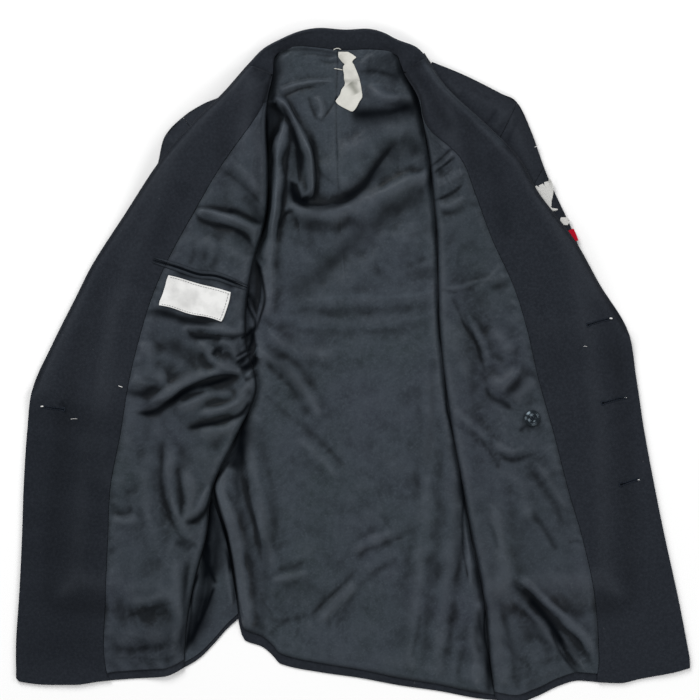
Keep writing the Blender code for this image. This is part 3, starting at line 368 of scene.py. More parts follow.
# Each row: height (mm, below zero is a groove), reach to the left and to the right of its
# path (mm), form, lean of its crest to the left (mm), and the path on the chart.
BACK_CREASES = (
    # loop fold down from the neck
    (9.0, 4.0, 7.0, SOFT, 1.5, ((272, 97), (285, 106), (297, 126), (306, 148), (310, 168),
     (312, 190), (309, 204))),
    (-4.5, 3.0, 3.0, KEEN, 0.0, ((280, 104), (288, 122), (297, 145), (300, 165), (299, 188))),
    (-3.0, 4.0, 3.0, KEEN, 0.0, ((316, 180), (314, 196), (308, 205))),
    # U-shaped drape: a deep groove above a long ridge
    (-7.0, 9.0, 4.0, KEEN, 0.0, ((290, 188), (297, 202), (310, 205), (328, 205), (347, 199),
     (362, 187), (374, 170), (386, 153), (398, 140))),
    (5.6, 8.0, 14.0, SOFT, 0.0, ((282, 214), (297, 208), (318, 211), (340, 210), (362, 203),
     (392, 190), (424, 176), (444, 168))),
    (-2.0, 12.0, 12.0, SOFT, 0.0, ((372, 150), (392, 143), (410, 143), (426, 155))),
    (4.6, 17.0, 20.0, SOFT, 0.0, ((326, 178), (344, 158), (368, 142), (396, 132), (424, 136))),
    # hook at the drape's left end
    (-4.0, 3.0, 3.0, KEEN, 0.0, ((279, 226), (286, 214), (296, 210))),
    (-1.8, 10.0, 14.0, SOFT, 0.0, ((292, 222), (312, 222), (332, 226), (346, 234))),
    # ridge beside the left deep fold
    (8.0, 7.0, 9.0, SOFT, -1.0, ((287, 122), (281, 146), (277, 176), (275, 208), (273, 240))),
    (4.6, 6.0, 9.0, SOFT, 0.0, ((274, 205), (272, 240), (270, 275), (266, 318))),
    (-3.4, 2.6, 3.0, KEEN, 0.0, ((291, 136), (288, 160), (285, 190), (281, 222), (278, 248))),
    # wrinkles under the neck
    (2.6, 3.0, 3.0, SOFT, 0.0, ((280, 92), (298, 86), (318, 82), (336, 80))),
    (-2.2, 2.5, 2.5, KEEN, 0.0, ((282, 96), (300, 90), (316, 88))),
    (-2.6, 3.0, 3.0, KEEN, 0.0, ((309, 96), (312, 108), (317, 122))),
    (-2.6, 3.0, 3.0, KEEN, 0.0, ((338, 96), (330, 110), (321, 124))),
    (2.4, 4.0, 4.0, SOFT, 0.0, ((318, 96), (322, 110), (320, 120))),
    (-1.6, 2.0, 2.0, KEEN, 0.0, ((300, 55), (318, 54), (337, 58))),
    (-1.4, 2.0, 2.0, KEEN, 0.0, ((318, 61), (330, 64), (340, 62))),
    (-1.8, 3.0, 3.0, KEEN, 0.0, ((358, 74), (376, 72), (400, 77))),
    (1.6, 3.0, 4.0, SOFT, 0.0, ((360, 66), (368, 58), (376, 54))),
    (-2.6, 4.0, 5.0, SOFT, 0.0, ((352, 116), (372, 114), (396, 111), (414, 108))),
    (3.2, 6.0, 6.0, SOFT, 0.0, ((366, 88), (384, 96), (402, 99), (416, 102))),
    (-4.0, 4.0, 3.0, KEEN, 0.0, ((398, 68), (406, 80), (414, 96), (420, 112))),
    # hollows and swells across the back
    (1.3, 12.0, 10.0, SOFT, 0.0, ((284, 300), (320, 302), (360, 300), (400, 298), (438, 294))),
    (-0.7, 8.0, 8.0, SOFT, 0.0, ((286, 312), (312, 310), (340, 313), (372, 312), (404, 309),
     (437, 302))),
    (0.8, 8.0, 9.0, SOFT, 0.0, ((290, 319), (330, 322), (372, 321), (410, 317), (438, 311))),
    (-1.1, 8.0, 9.0, SOFT, 0.0, ((288, 326), (318, 332), (352, 333), (396, 328), (436, 322))),
    (-1.0, 7.0, 7.0, SOFT, 0.0, ((290, 246), (304, 243), (318, 241))),
    (-1.8, 13.0, 13.0, SOFT, 0.0, ((288, 298), (322, 272), (352, 244), (390, 214), (428, 192))),
    (1.8, 14.0, 14.0, SOFT, 0.0, ((330, 296), (360, 268), (396, 244), (434, 224))),
    (-1.2, 5.0, 5.0, SOFT, 0.0, ((404, 268), (420, 262), (436, 256))),
    (-1.4, 4.0, 4.0, SOFT, 0.0, ((408, 282), (424, 277), (437, 275))),
    # diagonals running in from the bunched waist
    (2.8, 7.0, 9.0, SOFT, 0.0, ((252, 345), (272, 360), (292, 376), (308, 396), (322, 418))),
    (-1.7, 5.0, 5.0, SOFT, 0.0, ((258, 360), (280, 376), (298, 394), (312, 416))),
    (-1.3, 5.0, 5.0, SOFT, 0.0, ((268, 346), (290, 360), (306, 376), (318, 392))),
    (2.0, 8.0, 8.0, SOFT, 0.0, ((264, 334), (300, 350), (340, 356))),
    (-1.6, 5.0, 5.0, SOFT, 0.0, ((300, 424), (322, 444), (348, 470))),
    (1.4, 6.0, 6.0, SOFT, 0.0, ((296, 436), (318, 456), (340, 480))),
    (-1.4, 5.0, 5.0, SOFT, 0.0, ((262, 392), (282, 410), (304, 430))),
    # long folds down the left of the back
    (3.5, 7.0, 16.0, SOFT, 0.6, ((216, 476), (228, 512), (238, 548), (244, 584), (246, 624),
     (246, 660))),
    (-4.2, 4.0, 4.0, KEEN, 0.0, ((238, 430), (243, 470), (249, 505), (257, 540), (264, 568))),
    (1.6, 5.0, 7.0, SOFT, 0.0, ((250, 432), (254, 470), (261, 505), (268, 540), (272, 572))),
    (-1.0, 6.0, 8.0, SOFT, 0.0, ((262, 420), (266, 456), (274, 500), (276, 530), (268, 560))),
    (1.0, 7.0, 7.0, SOFT, 0.0, ((254, 590), (262, 612), (268, 640))),
    (-1.8, 4.0, 4.0, KEEN, 0.0, ((276, 570), (290, 566), (304, 560))),
    (1.8, 4.0, 4.0, SOFT, 0.0, ((272, 580), (290, 578), (310, 570))),
    (-2.2, 4.0, 4.0, KEEN, 0.0, ((270, 640), (276, 628), (290, 618), (306, 616))),
    (-1.8, 3.5, 3.5, KEEN, 0.0, ((308, 618), (326, 600), (346, 580), (362, 566))),
    (1.8, 5.0, 5.0, SOFT, 0.0, ((316, 622), (336, 602), (356, 584))),
    (-1.6, 4.0, 4.0, KEEN, 0.0, ((352, 560), (370, 548), (392, 540), (408, 538))),
    (1.4, 5.0, 5.0, SOFT, 0.0, ((350, 552), (372, 540), (396, 532))),
    (-1.4, 5.0, 5.0, SOFT, 0.0, ((340, 612), (358, 590), (378, 570), (398, 556))),
    # long soft folds down the right of the back
    (1.8, 10.0, 12.0, SOFT, 0.0, ((434, 350), (430, 400), (428, 450), (424, 510), (418, 570),
     (412, 630), (408, 676))),
    (-0.9, 8.0, 9.0, SOFT, 0.0, ((424, 362), (420, 410), (418, 470), (414, 530), (406, 590),
     (400, 650))),
    (-0.9, 9.0, 8.0, SOFT, 0.0, ((440, 410), (440, 450), (440, 500), (436, 550), (430, 600),
     (424, 650), (420, 686))),
    (1.3, 12.0, 9.0, SOFT, 0.0, ((448, 470), (451, 510), (450, 550), (446, 590), (440, 640),
     (436, 690))),
    (-2.2, 7.0, 5.0, SOFT, 0.0, ((460, 480), (463, 520), (460, 556), (455, 590), (449, 630),
     (445, 670))),
    (1.5, 2.6, 2.6, SOFT, 0.0, ((465, 500), (466, 530), (468, 560), (472, 590))),
    (-4.0, 2.6, 3.0, KEEN, 0.0, ((470, 516), (473, 540), (477, 566), (480, 590))),
    (-1.8, 4.0, 4.0, SOFT, 0.0, ((422, 610), (416, 634), (411, 660))),
    (-1.2, 4.0, 4.0, SOFT, 0.0, ((462, 640), (460, 662), (458, 690))),
    (2.2, 5.0, 5.0, SOFT, 0.0, ((472, 620), (474, 650), (476, 690))),
    (-0.8, 4.0, 4.0, SOFT, 0.0, ((446, 632), (458, 638), (474, 636))),
)
RIGHT_CREASES = (
    # beneath the shoulder
    (-1.6, 3.0, 3.0, KEEN, 0.0, ((224, 170), (240, 184), (256, 200), (266, 214))),
    (1.6, 5.0, 5.0, SOFT, 0.0, ((232, 164), (248, 178), (264, 194))),
    (-2.6, 2.4, 2.4, KEEN, 0.0, ((198, 207), (216, 208), (236, 213), (254, 221), (266, 226))),
    (4.2, 4.0, 5.0, SOFT, 0.0, ((194, 213), (214, 214), (236, 221), (254, 230), (262, 240))),
    (-3.0, 2.4, 2.6, KEEN, 0.0, ((194, 214), (202, 222), (216, 226), (232, 228), (246, 236),
     (256, 250))),
    (-1.6, 3.0, 3.0, KEEN, 0.0, ((212, 226), (224, 229), (236, 230))),
    (1.6, 8.0, 8.0, SOFT, 0.0, ((184, 244), (206, 246), (230, 250), (250, 262))),
    (-1.4, 4.0, 4.0, SOFT, 0.0, ((192, 240), (196, 254), (190, 268))),
    (1.4, 5.0, 5.0, SOFT, 0.0, ((208, 236), (212, 252), (208, 268))),
    # under the label
    (-3.6, 4.0, 4.0, KEEN, 0.0, ((142, 314), (160, 312), (184, 318), (206, 321), (226, 324))),
    (3.2, 5.0, 4.0, SOFT, 0.0, ((182, 330), (204, 328), (228, 331), (248, 332))),
    (-3.4, 3.0, 3.0, KEEN, 0.0, ((188, 330), (197, 336), (214, 337), (232, 335), (248, 330))),
    (4.0, 7.0, 5.0, SOFT, 0.0, ((196, 344), (206, 350), (212, 360), (228, 368), (244, 373))),
    (-2.0, 2.4, 2.4, KEEN, 0.0, ((213, 356), (218, 350), (224, 349))),
    (3.6, 4.0, 4.0, SOFT, 0.0, ((218, 342), (228, 345), (236, 356), (242, 362))),
    (-1.5, 8.0, 8.0, SOFT, 0.0, ((160, 336), (176, 346), (190, 354), (198, 366))),
    (2.6, 9.0, 9.0, SOFT, 0.0, ((146, 340), (152, 360), (150, 380))),
    # the two big creases across the waist
    (-6.5, 4.0, 4.0, KEEN, 0.0, ((140, 413), (160, 411), (172, 402), (186, 390), (203, 382),
     (222, 379), (240, 375))),
    (5.2, 9.0, 4.0, SOFT, -1.0, ((150, 402), (168, 396), (184, 384), (204, 375), (226, 371),
     (244, 372))),
    (-3.0, 2.5, 2.5, KEEN, 0.0, ((180, 401), (192, 395), (206, 392))),
    (3.4, 4.0, 7.0, SOFT, 0.0, ((176, 410), (196, 400), (216, 394), (236, 396))),
    (-3.8, 6.0, 5.0, KEEN, 0.0, ((126, 388), (144, 396), (158, 392), (168, 384))),
    (3.0, 7.0, 7.0, SOFT, 0.0, ((130, 378), (150, 382), (168, 374))),
    (-5.0, 3.5, 3.5, KEEN, 0.0, ((188, 426), (204, 423), (222, 421), (240, 416), (252, 408))),
    (4.2, 5.0, 4.0, SOFT, 0.0, ((196, 416), (216, 412), (236, 404), (246, 394), (252, 384))),
    (3.0, 6.0, 6.0, SOFT, 0.0, ((200, 434), (224, 430), (244, 424))),
    (-2.6, 3.0, 3.0, KEEN, 0.0, ((246, 402), (252, 410), (250, 418))),
    # long folds below the waist
    (-2.2, 4.0, 4.0, KEEN, 0.0, ((164, 436), (162, 470), (167, 505), (178, 532), (190, 542))),
    (2.6, 6.0, 6.0, SOFT, 0.0, ((172, 444), (171, 480), (176, 512), (188, 530))),
    (-2.4, 3.0, 3.0, KEEN, 0.0, ((179, 468), (182, 490), (181, 516))),
    (2.2, 5.0, 5.0, SOFT, 0.0, ((186, 470), (192, 496), (190, 514))),
    (-4.4, 3.5, 3.5, KEEN, 0.0, ((188, 524), (198, 520), (206, 510), (212, 496))),
    (3.0, 5.0, 5.0, SOFT, 0.0, ((184, 516), (196, 510), (206, 496), (212, 484))),
    (-2.2, 5.0, 5.0, SOFT, 0.0, ((176, 544), (188, 541), (198, 546))),
    (1.8, 8.0, 8.0, SOFT, 0.0, ((150, 440), (146, 480), (150, 520), (160, 560))),
    (-2.6, 4.0, 5.0, KEEN, 0.0, ((110, 502), (118, 512), (128, 513), (134, 508))),
    (2.0, 5.0, 5.0, SOFT, 0.0, ((112, 518), (126, 522), (138, 516))),
    (-0.9, 2.0, 2.0, KEEN, 0.0, ((127, 491), (132, 489), (137, 493))),
    (-0.8, 2.4, 2.4, KEEN, 0.0, ((128, 613), (146, 611), (160, 605), (176, 602))),
    (1.8, 6.0, 6.0, SOFT, 0.0, ((130, 604), (148, 600), (170, 592))),
    (2.0, 7.0, 7.0, SOFT, 0.0, ((176, 556), (178, 590), (176, 630), (172, 660))),
    (-2.6, 3.5, 3.5, KEEN, 0.0, ((190, 556), (186, 590), (184, 620), (180, 644))),
    (1.6, 12.0, 12.0, SOFT, 0.0, ((116, 636), (144, 634), (170, 636))),
    (-1.6, 5.0, 5.0, SOFT, 0.0, ((106, 648), (130, 650), (150, 646), (168, 650))),
)
LEFT_CREASES = (
    (-2.4, 1.8, 1.8, KEEN, 0.0, ((431, 168), (440, 160), (448, 151), (455, 146))),
    (2.0, 2.6, 2.6, SOFT, 0.0, ((431, 172), (442, 164), (452, 155), (458, 150))),
    (-2.2, 1.8, 1.8, KEEN, 0.0, ((433, 173), (443, 166), (454, 158))),
    (2.0, 5.0, 5.0, SOFT, 0.0, ((434, 186), (448, 180), (464, 170))),
    (-2.0, 1.8, 2.2, KEEN, 0.0, ((436, 200), (446, 198), (456, 193), (464, 186))),
    (1.8, 4.0, 4.0, SOFT, 0.0, ((438, 206), (450, 206), (466, 198))),
    (-1.6, 4.0, 4.0, SOFT, 0.0, ((440, 214), (454, 214), (468, 208))),
    (-2.0, 2.5, 2.5, KEEN, 0.0, ((439, 292), (447, 292), (457, 293))),
    (-1.5, 3.0, 3.0, KEEN, 0.0, ((448, 297), (456, 303), (458, 312))),
    (-2.2, 1.8, 2.2, KEEN, 0.0, ((460, 318), (468, 332), (477, 346), (482, 366))),
    (1.8, 3.6, 4.0, SOFT, 0.0, ((466, 314), (476, 330), (486, 348), (490, 366))),
    (1.6, 8.0, 8.0, SOFT, 0.0, ((450, 318), (456, 350), (468, 380))),
    (-1.8, 4.0, 4.0, SOFT, 0.0, ((482, 344), (494, 356), (506, 362))),
    (1.8, 7.0, 7.0, SOFT, 0.0, ((486, 330), (504, 344), (516, 350))),
    (-2.0, 5.0, 5.0, SOFT, 0.0, ((488, 290), (504, 284), (516, 276))),
    (-3.0, 4.0, 4.0, KEEN, 0.0, ((484, 386), (490, 397), (502, 403), (512, 410))),
    (-1.0, 9.0, 6.0, SOFT, 0.0, ((500, 402), (510, 390), (520, 376), (532, 362))),
    (3.0, 6.0, 6.0, SOFT, 0.0, ((486, 376), (498, 384), (508, 378), (516, 366))),
    (1.8, 5.0, 6.0, SOFT, 0.0, ((512, 402), (524, 390), (534, 376))),
    (1.3, 3.0, 3.0, SOFT, 0.0, ((440, 291), (468, 285), (505, 275))),
    (1.2, 2.6, 3.0, SOFT, 0.0, ((474, 293), (488, 277), (503, 262))),
    (-1.4, 4.0, 4.0, SOFT, 0.0, ((440, 408), (456, 424), (476, 438))),
    (1.6, 5.0, 5.0, SOFT, 0.0, ((452, 410), (470, 424), (488, 440))),
    (-1.6, 3.5, 3.5, KEEN, 0.0, ((468, 428), (480, 440), (494, 458), (500, 470))),
    (-2.0, 3.0, 3.0, KEEN, 0.0, ((498, 452), (508, 460), (520, 458), (532, 454))),
    (1.8, 4.0, 4.0, SOFT, 0.0, ((494, 442), (510, 450), (526, 446))),
    (-1.6, 3.0, 3.0, KEEN, 0.0, ((518, 432), (526, 426), (530, 434))),
    (1.8, 9.0, 9.0, SOFT, 0.0, ((506, 470), (520, 492), (530, 520))),
    (-1.4, 7.0, 7.0, SOFT, 0.0, ((524, 462), (540, 484), (556, 510), (566, 532))),
    (1.8, 5.0, 5.0, SOFT, 0.0, ((534, 462), (550, 484), (566, 508))),
    (-1.4, 3.0, 3.0, SOFT, 0.0, ((530, 512), (544, 530), (556, 552))),
    (-1.8, 2.5, 2.5, KEEN, 0.0, ((566, 543), (574, 540), (584, 541))),
    (1.6, 7.0, 7.0, SOFT, 0.0, ((492, 500), (500, 540), (506, 580))),
    (-1.6, 3.5, 3.5, SOFT, 0.0, ((488, 520), (494, 536), (496, 552))),
    # bold diagonal towards the hem
    (-5.6, 4.0, 4.5, KEEN, 0.0, ((508, 580), (524, 588), (542, 608), (562, 626), (580, 646),
     (592, 668))),
    (3.4, 3.4, 7.0, SOFT, -1.0, ((520, 576), (540, 592), (560, 612), (582, 634), (596, 654))),
    (2.6, 7.0, 3.5, SOFT, 0.0, ((512, 596), (530, 612), (548, 636), (566, 660))),
    (-4.2, 3.0, 3.0, KEEN, 0.0, ((548, 622), (556, 638), (566, 654), (582, 672))),
    (2.8, 3.0, 3.0, SOFT, 0.0, ((556, 630), (568, 644), (580, 660), (586, 672))),
    (-1.8, 5.0, 5.0, SOFT, 0.0, ((500, 596), (506, 630), (514, 668), (520, 690))),
    (1.8, 7.0, 7.0, SOFT, 0.0, ((494, 600), (498, 640), (504, 684))),
    (1.4, 9.0, 9.0, SOFT, 0.0, ((526, 640), (536, 664), (548, 684))),
)
SHOULDER_CREASES = (
    (-1.6, 3.0, 3.0, KEEN, 0.0, ((441, 80), (446, 90), (454, 97))),
    (1.2, 4.0, 4.0, SOFT, 0.0, ((447, 78), (453, 88), (462, 96))),
    (-1.8, 2.5, 2.5, KEEN, 0.0, ((497, 110), (490, 120), (482, 128))),
    (1.4, 4.0, 4.0, SOFT, 0.0, ((505, 110), (499, 122), (492, 132))),
    (-1.6, 3.0, 3.0, KEEN, 0.0, ((519, 118), (512, 134), (504, 150))),
    (-1.2, 3.0, 3.0, SOFT, 0.0, ((470, 84), (480, 96), (492, 102))),
)
# Hollows: depth (mm), softness of the rim (mm), how dark the shade painted inside is, outline.
BACK_PITS = (
    (6.0, 6.0, 0.40, ((254, 258), (261, 268), (263, 285), (262, 302), (257, 318), (250, 306),
     (246, 288), (248, 272))),
    (5.0, 5.0, 0.60, ((266, 104), (277, 102), (284, 116), (281, 132), (272, 148), (266, 160),
     (263, 140), (264, 120))),
    (4.0, 4.0, 0.50, ((290, 182), (298, 184), (302, 198), (312, 190), (314, 200), (304, 206),
     (294, 202))),
    (5.0, 5.0, 0.20, ((238, 340), (252, 328), (258, 346), (257, 364), (246, 376), (237, 368))),
    (4.0, 3.0, 0.60, ((214, 486), (219, 500), (225, 520), (232, 550), (236, 580), (237, 618),
     (233, 600), (227, 560), (219, 530), (213, 505))),
)
FRONT_PITS_RIGHT = (
    (1.2, 8.0, 0.08, ((152, 340), (180, 344), (196, 356), (196, 370), (180, 360), (160, 352))),
)
FACING_CREASES_RIGHT = (
    (-0.5, 5, 7, SOFT, 0.0, ((252, 68), (246, 84), (240, 104))),
)
FACING_CREASES_LEFT = (
    (0.7, 3, 3, SOFT, 0.0, ((424, 66), (446, 92), (472, 120), (492, 142), (508, 162))),
    (-0.8, 5, 5, SOFT, 0.0, ((430, 84), (450, 108), (472, 128), (492, 150))),
)
SIDE_CREASES = (
    (1.2, 2.0, 3.0, SOFT, 0.0, ((226, 540), (229, 575), (231, 612))),
)
COLLAR_CREASES = (
    (-0.5, 5, 5, SOFT, 0.0, ((352, 32), (350, 40), (351, 48))),
)
# Painted shade: darkness (below zero, painted light), reach to the left and to the right of the
# path (mm), and the path on the chart.
BUNCHED_SHADES = (  # where the lining is bunched in the fold, between front and back
    (0.82, 7.0, 6.0, ((253, 326), (248, 338), (245, 350), (245, 362), (248, 372))),
    (0.85, 1.6, 1.6, ((240, 340), (247, 335), (255, 328))),
    (0.85, 2.4, 2.4, ((252, 334), (251, 342), (248, 350))),
    (0.90, 1.5, 1.5, ((236, 358), (243, 353), (251, 348))),
    (0.90, 1.6, 1.6, ((237, 363), (245, 357), (252, 352))),
    (0.97, 6.0, 6.0, ((239, 370), (247, 367), (254, 361), (256, 356))),
    (0.85, 3.0, 3.0, ((245, 379), (251, 377), (258, 374))),
    (0.45, 4.0, 4.0, ((243, 374), (250, 374), (257, 370))),
    (-0.42, 1.2, 1.2, ((237, 360.5), (243, 356.5), (249, 352))),
    (-0.40, 1.8, 1.8, ((240, 366), (247, 360.5), (254, 353), (257, 347))),
    (-0.30, 1.5, 1.5, ((240, 350), (245, 345), (250, 339))),
    (-0.55, 1.4, 1.4, ((245, 376), (251, 371.5), (257, 368))),
)
BACK_SHADES = BUNCHED_SHADES + (  # darkness, reach to the left and right (mm), path
    # the deep fold at the left, from the neck to the hem
    (0.92, 2.3, 2.3, ((272, 58), (271, 75), (268, 95), (266, 112), (266, 130), (268, 160),
     (267, 200), (265, 225), (260, 240), (254, 262))),
    (0.9, 2.2, 2.6, ((247, 262), (246, 285), (248, 305), (256, 322), (254, 336), (249, 350))),
    (0.9, 2.4, 2.4, ((246, 404), (248, 414), (243, 424), (236, 440), (229, 460), (216, 482))),
    (0.95, 1.6, 1.2, ((213, 484), (222, 520), (229, 550), (234, 580), (236, 618))),
    # the fold at the right
    (0.88, 1.0, 1.3, ((397, 52), (401, 64), (409, 80), (417, 98), (421, 116), (428, 150),
     (432, 172), (434, 200), (437, 240), (438, 280), (439, 320), (442, 350), (445, 380),
    (448, 410), (453, 440), (460, 466), (463, 490), (466, 515), (472, 540), (478, 556),
    (483, 580), (485, 604), (484, 620), (488, 650), (492, 680), (494, 698))),
    # the hollow above it
    (0.92, 2.0, 2.6, ((256, 258), (261, 272), (263.5, 288), (263.5, 304), (260, 320), (256, 332))),
    (0.55, 1.6, 1.8, ((252, 266), (248, 284), (248, 298), (251, 306))),
    (0.45, 3.0, 3.0, ((249, 292), (254, 298), (255, 308), (252, 318))),
    (0.55, 1.3, 1.3, ((249, 294), (254, 303), (256, 314))),
    (0.50, 1.3, 1.3, ((247, 300), (251, 311), (254, 321))),
    (-0.26, 1.1, 1.1, ((250, 290), (256, 298), (260, 309))),
    (-0.22, 1.1, 1.1, ((248, 298), (253, 307), (256, 318))),
    (-0.10, 1.6, 1.6, ((255, 270), (253, 282), (254, 292))),
    # beneath the collar
    (0.60, 8.0, 8.0, ((275, 54), (277, 64), (274, 78), (268, 98))),
    (0.50, 2.4, 2.4, ((278, 52), (300, 50), (320, 52), (340, 53))),
    (0.85, 8.0, 8.0, ((392, 48), (400, 60), (408, 76), (415, 92), (420, 108), (423, 124))),
    (0.30, 7.0, 7.0, ((384, 54), (392, 62), (400, 74), (406, 86))),
    (0.70, 8.0, 11.0, ((348, 112), (368, 113), (390, 112), (406, 108), (420, 106))),
    (0.42, 13.0, 12.0, ((350, 115), (372, 117), (396, 116), (418, 112))),
    (0.36, 4.5, 4.5, ((358, 75), (376, 73), (400, 78))),
    (0.48, 12.0, 12.0, ((366, 67), (384, 69), (402, 78))),
    (0.28, 7.0, 7.0, ((374, 60), (384, 60), (394, 63))),
    (-0.10, 3.0, 3.0, ((358, 83), (378, 85), (398, 92), (410, 99))),
    (0.40, 8.0, 8.0, ((396, 98), (408, 106), (420, 120), (427, 138))),
    # the drape across the shoulder blades
    (0.46, 8.0, 7.0, ((380, 165), (372, 177), (359, 191), (344, 200))),
    (0.34, 11.0, 11.0, ((398, 143), (388, 156), (379, 168), (368, 180))),
    (0.20, 13.0, 13.0, ((410, 134), (396, 144), (384, 158), (372, 174))),
    (-0.08, 7.0, 7.0, ((340, 182), (354, 170), (368, 156), (382, 144))),
    (0.60, 4.0, 5.5, ((376, 172), (364, 187), (350, 199), (336, 206), (318, 208), (300, 204),
     (291, 196))),
    (0.36, 12.0, 10.0, ((400, 140), (416, 146), (430, 160))),
    (0.24, 10.0, 10.0, ((388, 160), (402, 152), (418, 153), (430, 166))),
    (0.93, 6.5, 6.5, ((293, 180), (293, 191), (299, 199), (310, 202))),
    (0.60, 3.6, 3.6, ((309, 128), (313, 150), (315, 170), (316, 188), (312, 202))),
    (0.70, 3.2, 3.2, ((279, 104), (288, 122), (296, 142), (301, 158), (301, 178))),
    (0.40, 7.0, 7.0, ((296, 150), (295, 165), (293, 182))),
    (0.50, 2.6, 2.6, ((291, 134), (288, 158), (285, 188), (281, 218))),
    (-0.10, 4.0, 4.0, ((284, 134), (279, 156), (276, 184), (274, 212))),
    (0.60, 2.8, 2.8, ((278, 228), (283, 217), (291, 209))),
    (0.36, 9.0, 9.0, ((288, 216), (302, 221), (318, 227), (330, 230))),
    (0.34, 15.0, 13.0, ((434, 186), (394, 208), (354, 240), (324, 270), (286, 300))),
    (0.12, 8.0, 8.0, ((300, 312), (330, 315), (356, 314), (386, 311), (414, 308), (438, 303))),
    (0.16, 3.0, 3.0, ((298, 309), (312, 310), (330, 315), (346, 317))),
    (-0.07, 2.0, 2.4, ((300, 300), (340, 297), (400, 296), (438, 291))),
    (-0.07, 2.0, 2.4, ((280, 322), (318, 327), (360, 330), (402, 321), (440, 308))),
    (0.24, 9.0, 9.0, ((276, 332), (296, 345), (320, 351))),
    (0.32, 5.0, 5.0, ((404, 275), (422, 272), (438, 270))),
    (0.25, 6.0, 6.0, ((408, 238), (424, 231), (437, 226))),
    (0.36, 9.0, 9.0, ((268, 348), (282, 366), (296, 382), (303, 402))),
    # the left of the back, below the waist
    (0.90, 11.0, 10.0, ((249, 416), (244, 434), (238, 452), (231, 470))),
    (0.55, 4.0, 5.0, ((243, 440), (240, 462), (238, 482), (241, 500))),
    (0.15, 7.0, 7.0, ((227, 505), (234, 540), (239, 580), (240, 616))),
    (-0.22, 1.2, 1.2, ((240, 428), (236, 446), (230, 462))),
    (0.55, 1.6, 1.6, ((240, 436), (245, 468), (251, 500), (257, 530), (262, 560))),
    (0.30, 5.0, 5.0, ((231, 476), (240, 502), (249, 532))),
    (-0.06, 5.0, 5.0, ((221, 484), (227, 504), (233, 526))),
    (0.30, 5.0, 5.0, ((262, 500), (267, 540), (266, 575), (262, 605), (264, 645))),
    (0.30, 4.0, 4.0, ((266, 580), (280, 571), (294, 562))),
    (0.45, 5.0, 5.0, ((270, 617), (280, 621), (292, 618))),
    (0.20, 16.0, 16.0, ((270, 600), (300, 590), (330, 600))),
    # the right of the back
    (0.26, 5.0, 5.0, ((434, 356), (432, 390), (430, 430), (427, 470))),
    (0.30, 8.0, 8.0, ((461, 480), (461, 510), (457, 545), (453, 575))),
    (0.14, 8.0, 8.0, ((453, 575), (449, 610), (446, 650), (443, 686))),
    (0.70, 1.6, 1.6, ((462, 496), (463, 530), (464, 560), (467, 580))),
    (-0.05, 1.6, 1.6, ((466, 512), (467, 540), (469, 566), (472, 586))),
    (0.45, 8.0, 8.0, ((452, 440), (458, 470), (462, 505))),
    (0.50, 6.5, 6.5, ((474, 566), (479, 584), (481, 604))),
    (0.78, 5.0, 5.0, ((479, 604), (483, 640), (487, 668), (491, 696))),
    (0.40, 4.0, 4.0, ((476, 624), (476, 640), (480, 654))),
    (0.20, 6.0, 6.0, ((456, 634), (466, 630), (474, 644), (470, 666))),
    (0.12, 6.0, 6.0, ((416, 560), (411, 600), (407, 640), (404, 676))),
    (0.20, 6.0, 6.0, ((356, 566), (340, 590), (322, 612))),
)
